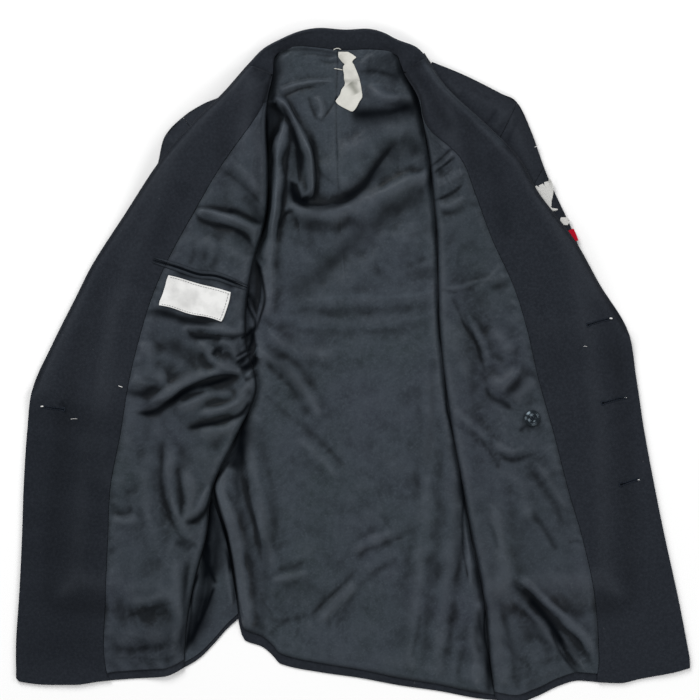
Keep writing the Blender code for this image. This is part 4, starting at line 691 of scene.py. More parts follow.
FRONT_SHADES_RIGHT = BUNCHED_SHADES + (
    (0.55, 7.0, 7.0, ((244, 196), (256, 208), (263, 224))),
    (0.40, 6.0, 6.0, ((234, 232), (246, 242), (252, 258))),
    (0.50, 2.0, 2.0, ((196, 207), (216, 209), (236, 213))),
    (0.60, 3.2, 3.2, ((228, 211), (244, 216), (264, 225))),
    (0.62, 2.0, 2.2, ((194, 213), (202, 222), (216, 226), (232, 228), (246, 236), (256, 250))),
    (-0.10, 2.0, 2.0, ((196, 212), (214, 214), (236, 219), (254, 227))),
    (0.30, 7.0, 7.0, ((220, 168), (240, 184), (258, 204))),
    (0.85, 4.5, 4.5, ((174, 270), (190, 275), (206, 277), (222, 281), (236, 287))),
    (0.35, 8.0, 8.0, ((236, 292), (246, 304), (248, 322))),
    (0.60, 5.0, 5.0, ((142, 314), (158, 314), (176, 318), (198, 323), (216, 326))),
    (0.68, 2.4, 2.4, ((186, 329), (193, 337), (214, 339), (236, 336), (252, 330))),
    (-0.10, 2.0, 2.0, ((186, 327), (206, 328), (230, 330))),
    (0.80, 2.6, 2.6, ((214, 355), (218, 350), (224, 351))),
    (-0.16, 1.7, 1.7, ((212, 350), (221, 342), (233, 337))),
    (-0.16, 1.7, 1.7, ((220, 354), (234, 365), (248, 374), (256, 384))),
    (0.22, 8.0, 8.0, ((206, 342), (216, 346), (230, 356), (240, 368))),
    (0.28, 9.0, 9.0, ((166, 342), (180, 349), (189, 360), (191, 378))),
    (0.88, 3.4, 3.4, ((136, 412), (155, 411), (172, 402), (190, 390), (210, 383), (236, 377))),
    (0.35, 8.0, 8.0, ((150, 412), (172, 404), (192, 392), (214, 386), (236, 384))),
    (0.55, 5.0, 5.0, ((124, 389), (140, 394), (152, 390), (162, 382))),
    (0.85, 3.0, 3.0, ((186, 428), (205, 424), (225, 421), (242, 414), (252, 400))),
    (0.45, 5.0, 5.0, ((246, 388), (254, 396), (252, 412))),
    (0.60, 3.4, 3.4, ((186, 524), (198, 518), (207, 508), (214, 494))),
    (0.50, 5.0, 5.0, ((174, 541), (184, 543), (192, 548))),
    (0.45, 3.5, 3.5, ((188, 556), (186, 590), (184, 620), (182, 652))),
    (0.30, 3.0, 3.0, ((162, 440), (161, 470), (166, 505), (176, 530))),
    (0.40, 2.6, 2.6, ((178, 470), (182, 492), (182, 518))),
    (0.20, 1.8, 2.4, ((126, 614), (146, 611), (176, 602))),
    (-0.07, 7.0, 7.0, ((120, 608), (146, 607), (176, 602))),
    (0.30, 26.0, 26.0, ((104, 652), (144, 648), (190, 640))),
    (0.12, 2.0, 2.0, ((108, 645), (140, 648), (180, 642))),
    (0.24, 1.8, 1.8, ((112, 656), (150, 659), (178, 655))),
    (-0.08, 1.8, 1.8, ((108, 650), (142, 653), (180, 648))),
    (0.35, 4.0, 4.0, ((110, 500), (120, 508), (134, 508))),
)
FRONT_SHADES_LEFT = (
    (0.60, 1.6, 1.6, ((430, 168), (440, 160), (448, 152), (456, 145))),
    (0.50, 1.5, 1.5, ((432, 175), (444, 167), (456, 159))),
    (0.50, 1.5, 1.5, ((434, 201), (446, 197), (462, 187))),
    (0.30, 7.0, 7.0, ((432, 130), (438, 150), (440, 180))),
    (0.35, 2.2, 2.2, ((452, 300), (460, 314), (466, 330))),
    (0.45, 1.7, 1.7, ((466, 324), (474, 340), (481, 358), (486, 374))),
    (0.26, 5.0, 10.0, ((504, 400), (514, 390), (524, 376), (532, 366))),
    (-0.12, 1.6, 1.6, ((496, 398), (508, 382), (519, 366))),
    (0.40, 3.0, 3.0, ((484, 386), (490, 398), (504, 404), (514, 410))),
    (0.50, 3.0, 3.0, ((518, 430), (526, 425), (534, 428))),
    (0.35, 3.0, 3.0, ((496, 452), (508, 461), (520, 459), (532, 452))),
    (0.14, 9.0, 9.0, ((530, 452), (546, 478), (562, 506), (574, 530))),
    (0.30, 3.5, 3.5, ((530, 510), (544, 528), (556, 548))),
    (0.72, 3.6, 4.4, ((510, 583), (526, 595), (540, 611), (556, 631), (568, 650))),
    (0.94, 4.0, 4.0, ((528, 598), (542, 613), (554, 628), (562, 642))),
    (0.80, 2.4, 2.4, ((550, 628), (557, 646), (567, 662), (580, 677))),
    (0.45, 6.0, 4.0, ((552, 630), (566, 644), (580, 660))),
    (-0.25, 1.8, 1.8, ((540, 596), (556, 614), (572, 634), (586, 652))),
    (0.30, 8.0, 8.0, ((516, 600), (534, 624), (552, 652))),
    (0.16, 6.0, 6.0, ((490, 560), (494, 600), (500, 650))),
    (-0.10, 7.0, 7.0, ((552, 600), (568, 606), (590, 606))),
    (-0.05, 10.0, 10.0, ((500, 612), (514, 622), (530, 640))),
    (0.25, 4.0, 4.0, ((506, 610), (512, 640), (520, 680))),
)
FACING_SHADES_RIGHT = (
    (0.26, 70.0, 70.0, ((84, 400), (70, 470), (62, 560), (58, 690))),
    (0.45, 2.6, 2.6, ((60, 401), (64, 405), (66, 410), (63, 413))),
    (0.35, 6.0, 6.0, ((262, 74), (266, 90), (262, 106))),
    (0.15, 12.0, 12.0, ((190, 180), (170, 220), (150, 262))),
)
FACING_SHADES_LEFT = (
    (0.20, 12.0, 12.0, ((486, 150), (498, 190), (506, 240))),
    (0.30, 7.0, 7.0, ((410, 66), (424, 88), (440, 112), (452, 134))),
    (-0.10, 6.0, 6.0, ((420, 62), (450, 92), (480, 122), (508, 150))),
)
SIDE_SHADES = (
    (0.95, 6.0, 6.0, ((211, 470), (211, 500), (210, 525), (206, 545), (203, 560))),
    (0.97, 12.0, 10.0, ((209, 536), (208, 562), (206, 584), (202, 606), (196, 626), (188, 650))),
    (0.92, 2.6, 2.6, ((206, 530), (203, 550), (210, 572), (216, 584))),
    (0.90, 2.2, 2.2, ((199, 570), (193, 595), (190, 620), (185, 655))),
    (0.88, 2.2, 2.2, ((214, 586), (208, 604), (200, 624), (192, 640))),
    (0.90, 3.0, 3.0, ((214, 484), (221, 514), (227, 545), (231, 575))),
    (0.60, 2.2, 2.2, ((226, 545), (232, 575), (235, 606))),
    (0.55, 7.0, 7.0, ((214, 512), (218, 534), (219, 556), (214, 582))),
    (-0.16, 1.5, 1.5, ((208, 574), (203, 598), (197, 622))),
    (-0.12, 1.4, 1.4, ((201, 566), (197, 590), (193, 614))),
    (-0.16, 2.4, 2.4, ((211, 540), (213, 552), (212, 566))),
)
RESTLESS_LEAST = 0.45     # how crumpled the lining is everywhere
RESTLESS = (  # place on the chart, reach (mm), how much more crumpled
    ((384, 72), 34.0, 0.2),
    ((226, 356), 42.0, 0.9),
    ((240, 280), 34.0, 0.7),
    ((190, 520), 50.0, 0.6),
    ((150, 654), 46.0, 0.8),
    ((300, 620), 70.0, 0.5),
    ((460, 640), 40.0, 0.5),
    ((510, 440), 50.0, 0.9),
    ((480, 330), 40.0, 0.5),
    ((560, 660), 50.0, 0.8),
    ((445, 180), 34.0, 0.7),
)
SIDE_PITS = (
    (2.5, 5.0, 0.30, ((214, 492), (222, 520), (218, 560), (214, 585), (206, 610), (194, 640),
     (186, 652), (190, 620), (198, 585), (203, 550), (208, 515))),
)


# -------------------------------------------------------------------------- reading tables


def ramp(t):
    """Rise from 0 to 1 with level ends."""
    t = np.clip(t, 0.0, 1.0)
    return t * t * (3.0 - 2.0 * t)


def swell(t):
    """Rise from 0 to 1 like the side of a rounded edge."""
    return np.sin(0.5 * math.pi * np.clip(t, 0.0, 1.0))


def hump(distance, middle, spread):
    """Rise to 1 about a distance and fall again."""
    return np.exp(-((distance - middle) / spread) ** 2)


def xy(plan):
    """The two coordinates of a plan's points."""
    return plan[..., 0], plan[..., 1]


def through(places, values, at, slopes=None):
    """Smooth curve through values given at rising places."""
    places = np.asarray(places, float)
    values = np.asarray(values, float)
    at = np.clip(np.asarray(at, float), places[0], places[-1])
    slopes = np.gradient(values, places) if slopes is None else slopes
    index = np.clip(np.searchsorted(places, at, side="right") - 1, 0, len(places) - 2)
    step = places[index + 1] - places[index]
    t = (at - places[index]) / step
    rise = values[index + 1] - values[index]
    start = slopes[index] * step
    end = slopes[index + 1] * step
    return values[index] + t * (start + t * (3 * rise - 2 * start - end + t * (start + end - 2 * rise)))


def column(table, name, at):
    """One column of a section table, read at fractional section numbers."""
    values = [row[name] for row in table]
    return through(np.arange(len(table)), values, at)


def by_height(table, name, y):
    """One column of a table whose rows run down the garment."""
    rows = sorted(table)
    return through([row[0] for row in rows], [row[name] for row in rows], y)


def edge_line(table, x):
    """The y of an edge given as (x, y) points with rising x, without overshooting them."""
    places = np.array([row[0] for row in table], float)
    values = np.array([row[1] for row in table], float)
    steps = np.diff(values) / np.diff(places)
    before = steps[:-1]
    after = steps[1:]
    total = before + after
    mean = 2 * before * after / np.where(total == 0, 1, total)
    middle = np.where(before * after > 0, mean, 0.0)
    return through(places, values, x, np.concatenate([steps[:1], middle, steps[-1:]]))


def pairs(table, first, at):
    """Points from two neighbouring columns of a section table."""
    return np.stack([column(table, first, at), column(table, first + 1, at)], axis=-1)


def path_points(path, count):
    """Points evenly numbered along a smooth curve through a path."""
    return pairs(path, 0, np.linspace(0, len(path) - 1, count))


def fold_line(fold, name, y):
    """Points of a fold at the given heights, on the front's side (1) or the back's (2)."""
    return np.stack([by_height(fold, name, y), y], axis=-1)


def path_distance(path, x, y):
    """Distance from each point to a polyline."""
    nearest = np.full(np.shape(x), np.inf)
    for (ax, ay), (bx, by) in zip(path[:-1], path[1:]):
        dx = bx - ax
        dy = by - ay
        t = np.clip(((x - ax) * dx + (y - ay) * dy) / (dx * dx + dy * dy), 0, 1)
        nearest = np.minimum(nearest, np.hypot(x - ax - t * dx, y - ay - t * dy))
    return nearest


def inside_depth(outline, x, y):
    """Distance to a closed outline, positive inside it."""
    inside = np.zeros(np.shape(x), bool)
    closed = list(outline) + [outline[0]]
    for (ax, ay), (bx, by) in zip(closed[:-1], closed[1:]):
        if ay == by:
            continue
        crosses = (ay > y) != (by > y)
        inside ^= crosses & (x < ax + (y - ay) * (bx - ax) / (by - ay))
    return np.where(inside, 1.0, -1.0) * path_distance(closed, x, y)


# ------------------------------------------------------------------------- one side


class Side:
    """The tables and lines of one half of the tunic."""

    def __init__(self, front, fold, lip, sleeve, hem, lapel, creases, pits, shades, facing_creases,
                 facing_shades, roll_end, seed):
        self.front = front
        self.fold = fold
        self.lip = lip
        self.sleeve = sleeve
        self.hem = hem
        self.lapel = lapel
        self.creases = creases
        self.pits = pits
        self.shades = shades
        self.facing_creases = facing_creases
        self.facing_shades = facing_shades
        self.seed = seed
        self.roll_end = roll_end
        self.roll = [(row[3], row[4]) for row in front[:roll_end + 1]]
        self.front_seam = [(row[2], row[1]) for row in front[1:-2]]
        self.tip = sleeve[ARMHOLE_ROW][:2]
        outer = [row[:2] for row in sleeve]
        inner = [row[2:4] for row in reversed(sleeve)]
        self.sleeve_outline = outer + inner


RIGHT = Side(FRONT_RIGHT, FOLD_RIGHT, LIP_RIGHT, SLEEVE_RIGHT, HEM_RIGHT, LAPEL_RIGHT, RIGHT_CREASES,
             FRONT_PITS_RIGHT, FRONT_SHADES_RIGHT, FACING_CREASES_RIGHT, FACING_SHADES_RIGHT, 8, 11)
LEFT = Side(FRONT_LEFT, FOLD_LEFT, LIP_LEFT, SLEEVE_LEFT, HEM_LEFT, LAPEL_LEFT, LEFT_CREASES,
            (), FRONT_SHADES_LEFT, FACING_CREASES_LEFT, FACING_SHADES_LEFT, 7, 31)
SIDES = {"right": RIGHT, "left": LEFT}


# --------------------------------------------------------------------------- heights


def loft(side, x, y):
    """Height of the air or wadding between a sleeve's two sides, away from its edges."""
    away = np.hypot(x - side.tip[0], y - side.tip[1])
    return ARM_LOFT + SHOULDER_LOFT * np.exp(-((away / SHOULDER_SPREAD) ** 2))


def sleeve_top(side, x, y):
    """Underside of the upper sleeve or shoulder."""
    depth = inside_depth(side.sleeve_outline, x, y)
    return WOOL + GAP + loft(side, x, y) * swell(depth / EDGE_ROUND)


def over_sleeve(side, x, y, clearance):
    """Lowest place for cloth that is draped over the sleeve and the ground beside it."""
    depth = inside_depth(side.sleeve_outline, x, y)
    height = loft(side, x, y) + 2 * WOOL + GAP + clearance
    return height * ramp((depth + DRAPE_REACH) / DRAPE_WIDTH)


def front_floor(side, x, y):
    """Underside of a front's outer cloth."""
    fold_x = by_height(side.fold, 1, y)
    from_fold = np.abs(x - fold_x)
    over_back = (WOOL + GAP) * (1 - ramp((from_fold - BACK_UNDER_FRONT) / BACK_RUNS_OUT))
    sunk = 1 - ramp((from_fold - LIP_WIDTH) / LIP_REACH)
    lip = by_height(side.lip, 1, y) * swell(from_fold / LIP_WIDTH) * sunk
    from_roll = path_distance(side.roll, x, y)
    above_roll_end = ramp((y - side.roll[-1][1] + LAPEL_BELOW_ROLL) / LAPEL_TAPER)
    near_roll = ramp((from_roll - LAPEL_START) / LAPEL_RISE)
    beyond_lapel = ramp((from_roll - LAPEL_SPAN) / LAPEL_SINK)
    lapel = LAPEL_LIFT * near_roll * (1 - beyond_lapel) * above_roll_end
    floor = over_back + lip + over_sleeve(side, x, y, FRONT_CLEARANCE) + lapel
    if side is RIGHT:
        from_buttons = path_distance(OUTER_BUTTONS, x, y) - OUTER_BUTTON_REACH
        floor = floor + OUTER_BUTTON_LIFT * (1 - ramp(from_buttons / OUTER_BUTTON_SLOPE))
    return floor


def between(start, end, steps):
    """Rows of points from one line of points to another."""
    part = np.atleast_2d(steps)[:, :, None]
    return start[:, None, :] * (1 - part) + end[:, None, :] * part


def inset_steps(start, end, count, first_gap, last_gap, near_start=(), near_end=()):
    """Even steps from 0 to 1 that stop short by small distances at the ends.

    Extra steps can lie at set distances from either end, closer where a row is short.
    """
    rows = []
    furthest = max([1.0, *near_start, *near_end])
    for length in np.linalg.norm(end - start, axis=-1):
        shrink = min(1.0, length / (3.0 * furthest))
        first = [first_gap] + [first_gap + d * shrink for d in near_start]
        last = [length - last_gap - d * shrink for d in sorted(near_end, reverse=True)]
        last.append(length - last_gap)
        even = np.linspace(first[-1], last[0], count)[1:-1]
        rows.append(np.concatenate([first, even, last]) / length)
    return np.array(rows)


def front_lines(side, levels):
    """Fold, seam and edge points of a front at the given sections."""
    fold = fold_line(side.fold, 1, column(side.front, 0, levels))
    return fold, pairs(side.front, 1, levels), pairs(side.front, 3, levels)


def to_hem(side, plan, levels):
    """Bend the last sections of a front to the true line of its hem."""
    last_row = len(side.front) - 1
    ends = sorted(tuple(line[0]) for line in front_lines(side, np.array([float(last_row)])))
    straight = np.interp(plan[..., 0], *zip(*ends))
    bend = edge_line(side.hem, plan[..., 0]) - straight
    share = ramp((levels - last_row + HEM_BEND_ROWS) / HEM_BEND_RUN)[:, None]
    bent = plan.copy()
    bent[..., 1] += bend * share
    return bent


def front_top(side, x, y):
    """Upper face of a front's outer cloth, with a rounder roll at its fold than the solid has."""
    from_fold = np.abs(x - by_height(side.fold, 1, y))
    rounder = np.sqrt(1 - (1 - np.clip(from_fold / ROLL_WIDTH, 0.0, 1.0)) ** 2)
    extra = np.maximum(rounder - swell(from_fold / LIP_WIDTH), 0.0)
    return front_floor(side, x, y) + WOOL + by_height(side.lip, 1, y) * extra


# -------------------------------------------------------------------- crease modelling


def chart(path):
    """A path on the plan chart, in millimetres."""
    middle_x, middle_y = CHART_ORIGIN
    return [((x - middle_x) * CHART_STEP, (middle_y - y) * CHART_STEP) for x, y in path]


def uneven(path, share, waves_of, depth):
    """Swelling and shrinking along a charted path, about 1, over the given lengths (mm)."""
    start = path[0][0] * 0.7 + path[0][1] * 1.3
    along = share * CHART_STEP * sum(math.dist(a, b) for a, b in zip(path, path[1:]))
    swing = sum(np.sin(2 * math.pi * along / length + start * (k + 1))
                for k, length in enumerate(waves_of))
    return 1.0 + depth * swing / len(waves_of)


def beside(path, reach, x, y):
    """The places near a charted path, with their distance, share along it, side and heading.

    The cloth wanders a little from the chart. Gives nothing where the path is far away.
    """
    start = path[0][0] + 2.0 * path[0][1]
    x = x + 1.1 * np.sin(y / 15.0 + start) + 0.35 * np.sin(y / 6.3 + 2.0 * start)
    y = y + 1.1 * np.sin(x / 13.0 + 3.0 * start) + 0.35 * np.sin(x / 5.9 + start)
    line = path_points(chart(path), 5 * len(path))
    low = line.min(axis=0) - reach
    high = line.max(axis=0) + reach
    near = (x > low[0]) & (x < high[0]) & (y > low[1]) & (y < high[1])
    if not near.any():
        return None
    place = np.stack([x[near], y[near]], axis=-1)
    best = np.full(len(place), np.inf)
    along = np.zeros(len(place))
    signed = np.zeros(len(place))
    normal = np.zeros(place.shape)
    count = len(line) - 1
    for k in range(count):
        step = line[k + 1] - line[k]
        t = np.clip((place - line[k]) @ step / (step @ step), 0, 1)
        offset = place - line[k] - t[:, None] * step
        distance = np.hypot(offset[:, 0], offset[:, 1])
        closer = distance < best
        best[closer] = distance[closer]
        along[closer] = (k + t[closer]) / count
        signed[closer] = (step[0] * offset[:, 1] - step[1] * offset[:, 0])[closer]
        normal[closer] = np.array([-step[1], step[0]]) / math.hypot(*step)
    return near, best, along, signed, normal


def creased(creases, x, y):
    """Lift of all creases at each place, how far they push it sideways, and the shade painted along
    their troughs.
    """
    lift = np.zeros(x.shape)
    dark = np.zeros(x.shape)
    push = np.zeros(x.shape + (2,))
    for height, left, right, form, lean, path in creases:
        found = beside(path, 3.5 * max(left, right), x, y)
        if found is None:
            continue
        near, best, along, signed, normal = found
        width = np.where(signed > 0, left, right) * uneven(path, along, (88.0, 41.0), CREASE_UNEVEN)
        fade = swell(np.minimum(along, 1 - along) / CREASE_ENDS)
        fade = fade * uneven(path, along, (110.0, 53.0), CREASE_UNEVEN)
        shape = fade * np.exp(-((best / width) ** form))
        lift[near] += (RIDGE_GAIN if height > 0 else TROUGH_GAIN) * height * shape
        push[near] += (lean * shape)[:, None] * normal
        # painted shade along each trough
        if height < 0:
            line = min(TROUGH_DARK_MOST, -TROUGH_DARK * height) * fade
            line = line * np.exp(-((best / (TROUGH_DARK_WIDTH * width)) ** TROUGH_DARK_FORM))
            dark[near] = np.maximum(dark[near], line)
    return lift, push, dark


def shaded(shades, x, y):
    """Painted shade of the cloth in its deepest folds, and below zero painted light where the cloth
    catches the light.
    """
    dark = np.zeros(x.shape)
    light = np.zeros(x.shape)
    for darkness, left, right, path in shades:
        found = beside(path, 2.5 * max(left, right), x, y)
        if found is None:
            continue
        near, best, along, signed, _ = found
        width = np.where(signed > 0, left, right) * uneven(path, along, (80.0, 37.0), SHADE_UNEVEN)
        fade = swell(np.minimum(along, 1 - along) / SHADE_ENDS)
        share = darkness * fade * uneven(path, along, (97.0, 45.0), SHADE_UNEVEN)
        share = np.clip(share, -1.0, SHADE_MOST) * np.exp(-((best / width) ** 2))
        if darkness > 0:
            dark[near] = 1 - (1 - dark[near]) * (1 - share)
        else:
            light[near] += share
    return dark + light


def restless(x, y):
    """How much more crumpled the lining is at each place than elsewhere."""
    total = np.zeros(x.shape)
    for place, reach, much in RESTLESS:
        (cx, cy), = chart((place,))
        total = np.maximum(total, much * np.exp(-((x - cx) ** 2 + (y - cy) ** 2) / reach ** 2))
    return RESTLESS_LEAST + total


def darkened(dark, shade):
    """Two darknesses together."""
    return np.where(shade > 0, 1 - (1 - dark) * (1 - np.maximum(shade, 0)), dark + shade)


def above(floor, height, softness=1.2):
    """A height that eases onto a floor instead of crossing it."""
    return floor + softness * np.logaddexp(0.0, (height - floor) / softness)


def pitted(pits, x, y):
    """Depth of the hollows at each place, and the shade painted inside them."""
    depth = np.zeros(x.shape)
    dark = np.zeros(x.shape)
    for deep, rim, darkness, outline in pits:
        inside = ramp(0.3 + inside_depth(chart(outline), x, y) / rim * 0.7)
        depth = np.maximum(depth, deep * inside)
        dark = np.maximum(dark, darkness * inside)
    return depth, dark


def ripple(x, y, seed, shortest, longest, heading=0.0, spread=180.0, count=18):
    """Uneven waves of height about 1, whose crests run across a heading in degrees."""
    draw = np.random.default_rng(seed)
    bent_x = x + 5.0 * np.sin(y / 31.0 + seed) + 3.0 * np.sin(y / 13.0 + 2.0 * seed)
    bent_y = y + 5.0 * np.sin(x / 29.0 + 3.0 * seed) + 3.0 * np.sin(x / 12.0 + seed)
    total = np.zeros(x.shape)
    for _ in range(count):
        length = draw.uniform(shortest, longest)
        angle = math.radians(heading + draw.uniform(-spread, spread))
        phase = draw.uniform(0, 2 * math.pi)
        across = (bent_x * math.cos(angle) + bent_y * math.sin(angle)) * 2 * math.pi / length
        total += np.sin(across + phase) * length / longest
    patch = 0.6 + 0.4 * np.sin(x / 47.0 + seed) * np.sin(y / 61.0 + 2.0 * seed)
    return total * patch / math.sqrt(count)


def crumple(x, y, seed, size):
    """Short, sharp and uneven wrinkles of height about 1, level on average."""
    draw = np.random.default_rng(seed)
    bent_x = x + 0.9 * size * np.sin(y / (1.3 * size) + seed)
    bent_x = bent_x + 0.5 * size * np.sin((x + y) / (0.8 * size))
    bent_y = y + 0.9 * size * np.sin(x / (1.5 * size) + 2 * seed)
    bent_y = bent_y + 0.5 * size * np.sin((x - y) / (0.7 * size))
    total = np.zeros(x.shape)
    for _ in range(CRUMPLE_LAYERS):
        angle = draw.uniform(0, math.pi)
        length = size * draw.uniform(0.9, 2.2)
        phase = draw.uniform(0, math.pi)
        across = bent_x * math.cos(angle) + bent_y * math.sin(angle)
        along = bent_y * math.cos(angle) - bent_x * math.sin(angle)
        crest = (1 - np.abs(np.sin(across * math.pi / length + phase))) ** 2
        lengthwise = np.sin(along / (1.1 * length) + 5 * phase)
        crosswise = np.sin(across / (2.3 * length) + 3 * phase)
        patch = ramp(0.4 + lengthwise * crosswise)
        total += (crest - CREST_MEAN) * patch * draw.uniform(0.4, 1.0)
    return total


def lines_from(grid, side):
    """A grid's lines of points, counted from one of its borders."""
    lines = np.swapaxes(grid, 0, 1) if side in ("start", "end") else grid
    return lines[::-1] if side in ("last", "end") else lines


def grid_from(lines, side):
    """A grid again, from its lines counted from one of its borders."""
    lines = lines[::-1] if side in ("last", "end") else lines
    return np.swapaxes(lines, 0, 1) if side in ("start", "end") else lines


def unit(vectors):
    """Vectors brought to length 1."""
    return vectors / np.maximum(np.linalg.norm(vectors, axis=-1), 1e-6)[:, None]


def blurred(values, reach):
    """Average of a grid over a square window."""
    for axis in (0, 1):
        pads = [(0, 0), (0, 0)]
        pads[axis] = (reach + 1, reach)
        sums = np.cumsum(np.pad(values, pads, mode="edge"), axis=axis)
        size = values.shape[axis]
        ahead = np.take(sums, range(2 * reach + 1, 2 * reach + 1 + size), axis=axis)
        behind = np.take(sums, range(size), axis=axis)
        values = (ahead - behind) / (2 * reach + 1)
    return values


# ------------------------------------------------------------------------ mesh making
# A grid of cloth holds x, y, z, its height before the edges were rounded, how hollow it
# is against the cloth around it, and how dark the shade painted on it is (below zero, painted light).
OPEN_TURN = ((0.0, 2.0), (0.3, 1.72), (0.0, 1.0), (0.3, 0.28), (1.0, 0.0))  # in, down
CLOSED_TURN = ((0.0, 1.0), (0.3, 0.28), (1.0, 0.0))
APRON_FALL = ((1.0, 1.0), (0.35, 0.8), (0.08, 0.3), (0.0, 0.03))  # share of the reach, and of the fall
BORDERS = ("start", "end", "first", "last")
LOWEST = 0.05         # no edge is turned below this height
THREAD_TAPER = 0.6    # a thread's thickness at its ends, as a share


def cloth_grid(plan, top, pushed=None, dark=None, reach=5):
    """A grid of cloth over a plan, with its upper face at the given heights."""
    place = plan if pushed is None else plan + pushed
    hollow = blurred(blurred(top, reach), reach) - top
    darkness = np.zeros(top.shape) if dark is None else dark
    return np.concatenate([place, np.stack([top, top, hollow, darkness], axis=-1)], axis=-1)


def border(grid, side, radius, turn, tuck=0.0):
    """Round one border of a grid and turn it under by extra lines of points.

    The side is first or last for rows, start or end for columns.
    """
    lines = lines_from(grid, side)
    edge = lines[0]
    inward = unit(lines[1, :, :2] - edge[:, :2])
    size = np.broadcast_to(radius, len(edge))
    under = np.broadcast_to(tuck, len(edge))
    turned = []
    for share_in, share_down in turn:
        line = edge.copy()
        further = under if share_down == 2.0 else 0.0
        line[:, :2] += inward * (share_in * size + further)[:, None]
        line[:, 2] = np.minimum(edge[:, 2], np.maximum(edge[:, 3] - share_down * size, LOWEST))
        turned.append(line)
    return grid_from(np.concatenate([np.array(turned), lines[1:]]), side)


def bordered(grid, radius, turn, tuck=0.0, sides=BORDERS):
    """Round several borders of a grid in the same way."""
    for side in sides:
        grid = border(grid, side, radius, turn, tuck)
    return grid


def apron(grid, side, reach, low, shelf=0.0):
    """Run one border of a grid on outwards, level at first, and down beneath its neighbour."""
    lines = lines_from(grid, side)
    edge = lines[0]
    outward = unit(edge[:, :2] - lines[1, :, :2])
    added = []
    for share, fall in APRON_FALL:
        line = edge.copy()
        line[:, :2] += outward * (shelf + share * reach)
        line[:, 2] += (low - edge[:, 2]) * fall
        added.append(line)
    kept = added if shelf else added[:3]
    return grid_from(np.concatenate([np.array(kept), lines]), side)


def grid_faces(grid):
    """Corner numbers of a grid's squares, wound so that they face up."""
    rows, columns, _ = grid.shape
    corner = np.arange(rows * columns).reshape(rows, columns)
    squares = [corner[:-1, :-1], corner[:-1, 1:], corner[1:, 1:], corner[1:, :-1]]
    faces = np.stack(squares, axis=-1).reshape(-1, 4)
    across = grid[rows // 2, -1, :2] - grid[rows // 2, 0, :2]
    down = grid[-1, columns // 2, :2] - grid[0, columns // 2, :2]
    if across[0] * down[1] - across[1] * down[0] < 0:
        faces = faces[:, ::-1]
    return faces


def finished(name, points, faces, material, values=None):
    """A piece from points in millimetres, riding on the one body."""
    mesh = bpy.data.meshes.new(name)
    faces = faces.tolist() if isinstance(faces, np.ndarray) else faces
    mesh.from_pydata((np.asarray(points)[:, :3] * MM).tolist(), [], faces)
    for title, numbers in (values or {}).items():
        attribute = mesh.attributes.new(title, "FLOAT", "POINT")
        attribute.data.foreach_set("value", np.ascontiguousarray(numbers, np.float32))
    mesh.materials.append(material)
    mesh.shade_smooth()
    piece = placed(name, mesh)
    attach(piece, "root")
    return piece


def placed(name, data):
    """A new object in the scene."""
    thing = bpy.data.objects.new(name, data)
    bpy.context.scene.collection.objects.link(thing)
    return thing


def open_sheet(name, grid, material):
    """One surface of cloth whose edges are turned under."""
    points = grid.reshape(-1, grid.shape[-1])
    return finished(name, points, grid_faces(grid), material, carried(points))


def carried(points):
    """The values that cloth carries for its material."""
    return {"hollow": points[:, 4], "dark": points[:, 5]}


def closed_sheet(name, grid, thickness, material):
    """A closed wall of cloth under a grid's upper face, with rounded edges."""
    upper = bordered(grid, thickness / 2, CLOSED_TURN)
    lower = upper.copy()
    lower[..., 2] = 2 * upper[..., 3] - thickness - upper[..., 2]
    rows, columns, width = upper.shape
    number = np.arange(rows * columns).reshape(rows, columns)
    below = number + rows * columns
    rim = np.ones(number.shape, bool)
    rim[1:-1, 1:-1] = False
    below[rim] = number[rim]
    faces = grid_faces(upper)
    under = below.reshape(-1)[faces[:, ::-1]]
    points = np.concatenate([upper.reshape(-1, width), lower.reshape(-1, width)])
    faces = np.concatenate([faces, under])
    used = np.zeros(len(points), bool)
    used[faces.reshape(-1)] = True
    renumbered = (np.cumsum(used) - 1)[faces]
    points = points[used]
    return finished(name, points, renumbered, material, carried(points))


def ground_sheet(name, plan, wool):
    """A closed wall of wool that lies flat on the surface beneath the tunic."""
    grid = cloth_grid(plan, np.full(plan.shape[:2], WOOL), reach=2)
    return closed_sheet(name, grid, WOOL, wool)


def ring_faces(rings, around, flipped=False):
    """Faces of a body made of rings of points, with its two ends, wound either way."""
    faces = []
    for i in range(rings - 1):
        for j in range(around):
            a = i * around + j
            b = i * around + (j + 1) % around
            face = [a, a + around, b + around, b] if flipped else [a, b, b + around, a + around]
            faces.append(face)
    first = list(range(around))
    last = [(rings - 1) * around + j for j in range(around)]
    return faces + ([first, last[::-1]] if flipped else [first[::-1], last])


def tube_along(points, radius, sides=6):
    """Points and faces of a small round thread along a line of points, in millimetres."""
    points = np.asarray(points, float)
    ahead = np.gradient(points, axis=0)
    ahead /= np.linalg.norm(ahead, axis=-1)[:, None]
    aside = unit(np.cross(ahead, (0.0, 0.0, 1.0)))
    up = np.cross(aside, ahead)
    share = np.linspace(0, 1, len(points))
    rounding = swell(np.minimum(share, 1 - share) / 0.2)
    thick = radius * (THREAD_TAPER + (1 - THREAD_TAPER) * rounding)
    turn = np.arange(sides) * 2 * math.pi / sides
    cosines = np.cos(turn)[None, :, None]
    sines = np.sin(turn)[None, :, None]
    ring = aside[:, None] * cosines + up[:, None] * sines
    made = points[:, None] + ring * thick[:, None, None]
    return made.reshape(-1, 3), ring_faces(len(points), sides)


def joined(name, parts, material):
    """One piece from several lots of points and faces."""
    points = []
    faces = []
    for part_points, part_faces in parts:
        faces += [[index + len(points) for index in face] for face in part_faces]
        points += list(part_points)
    return finished(name, np.array(points), faces, material)


# -------------------------------------------------------------------------- materials


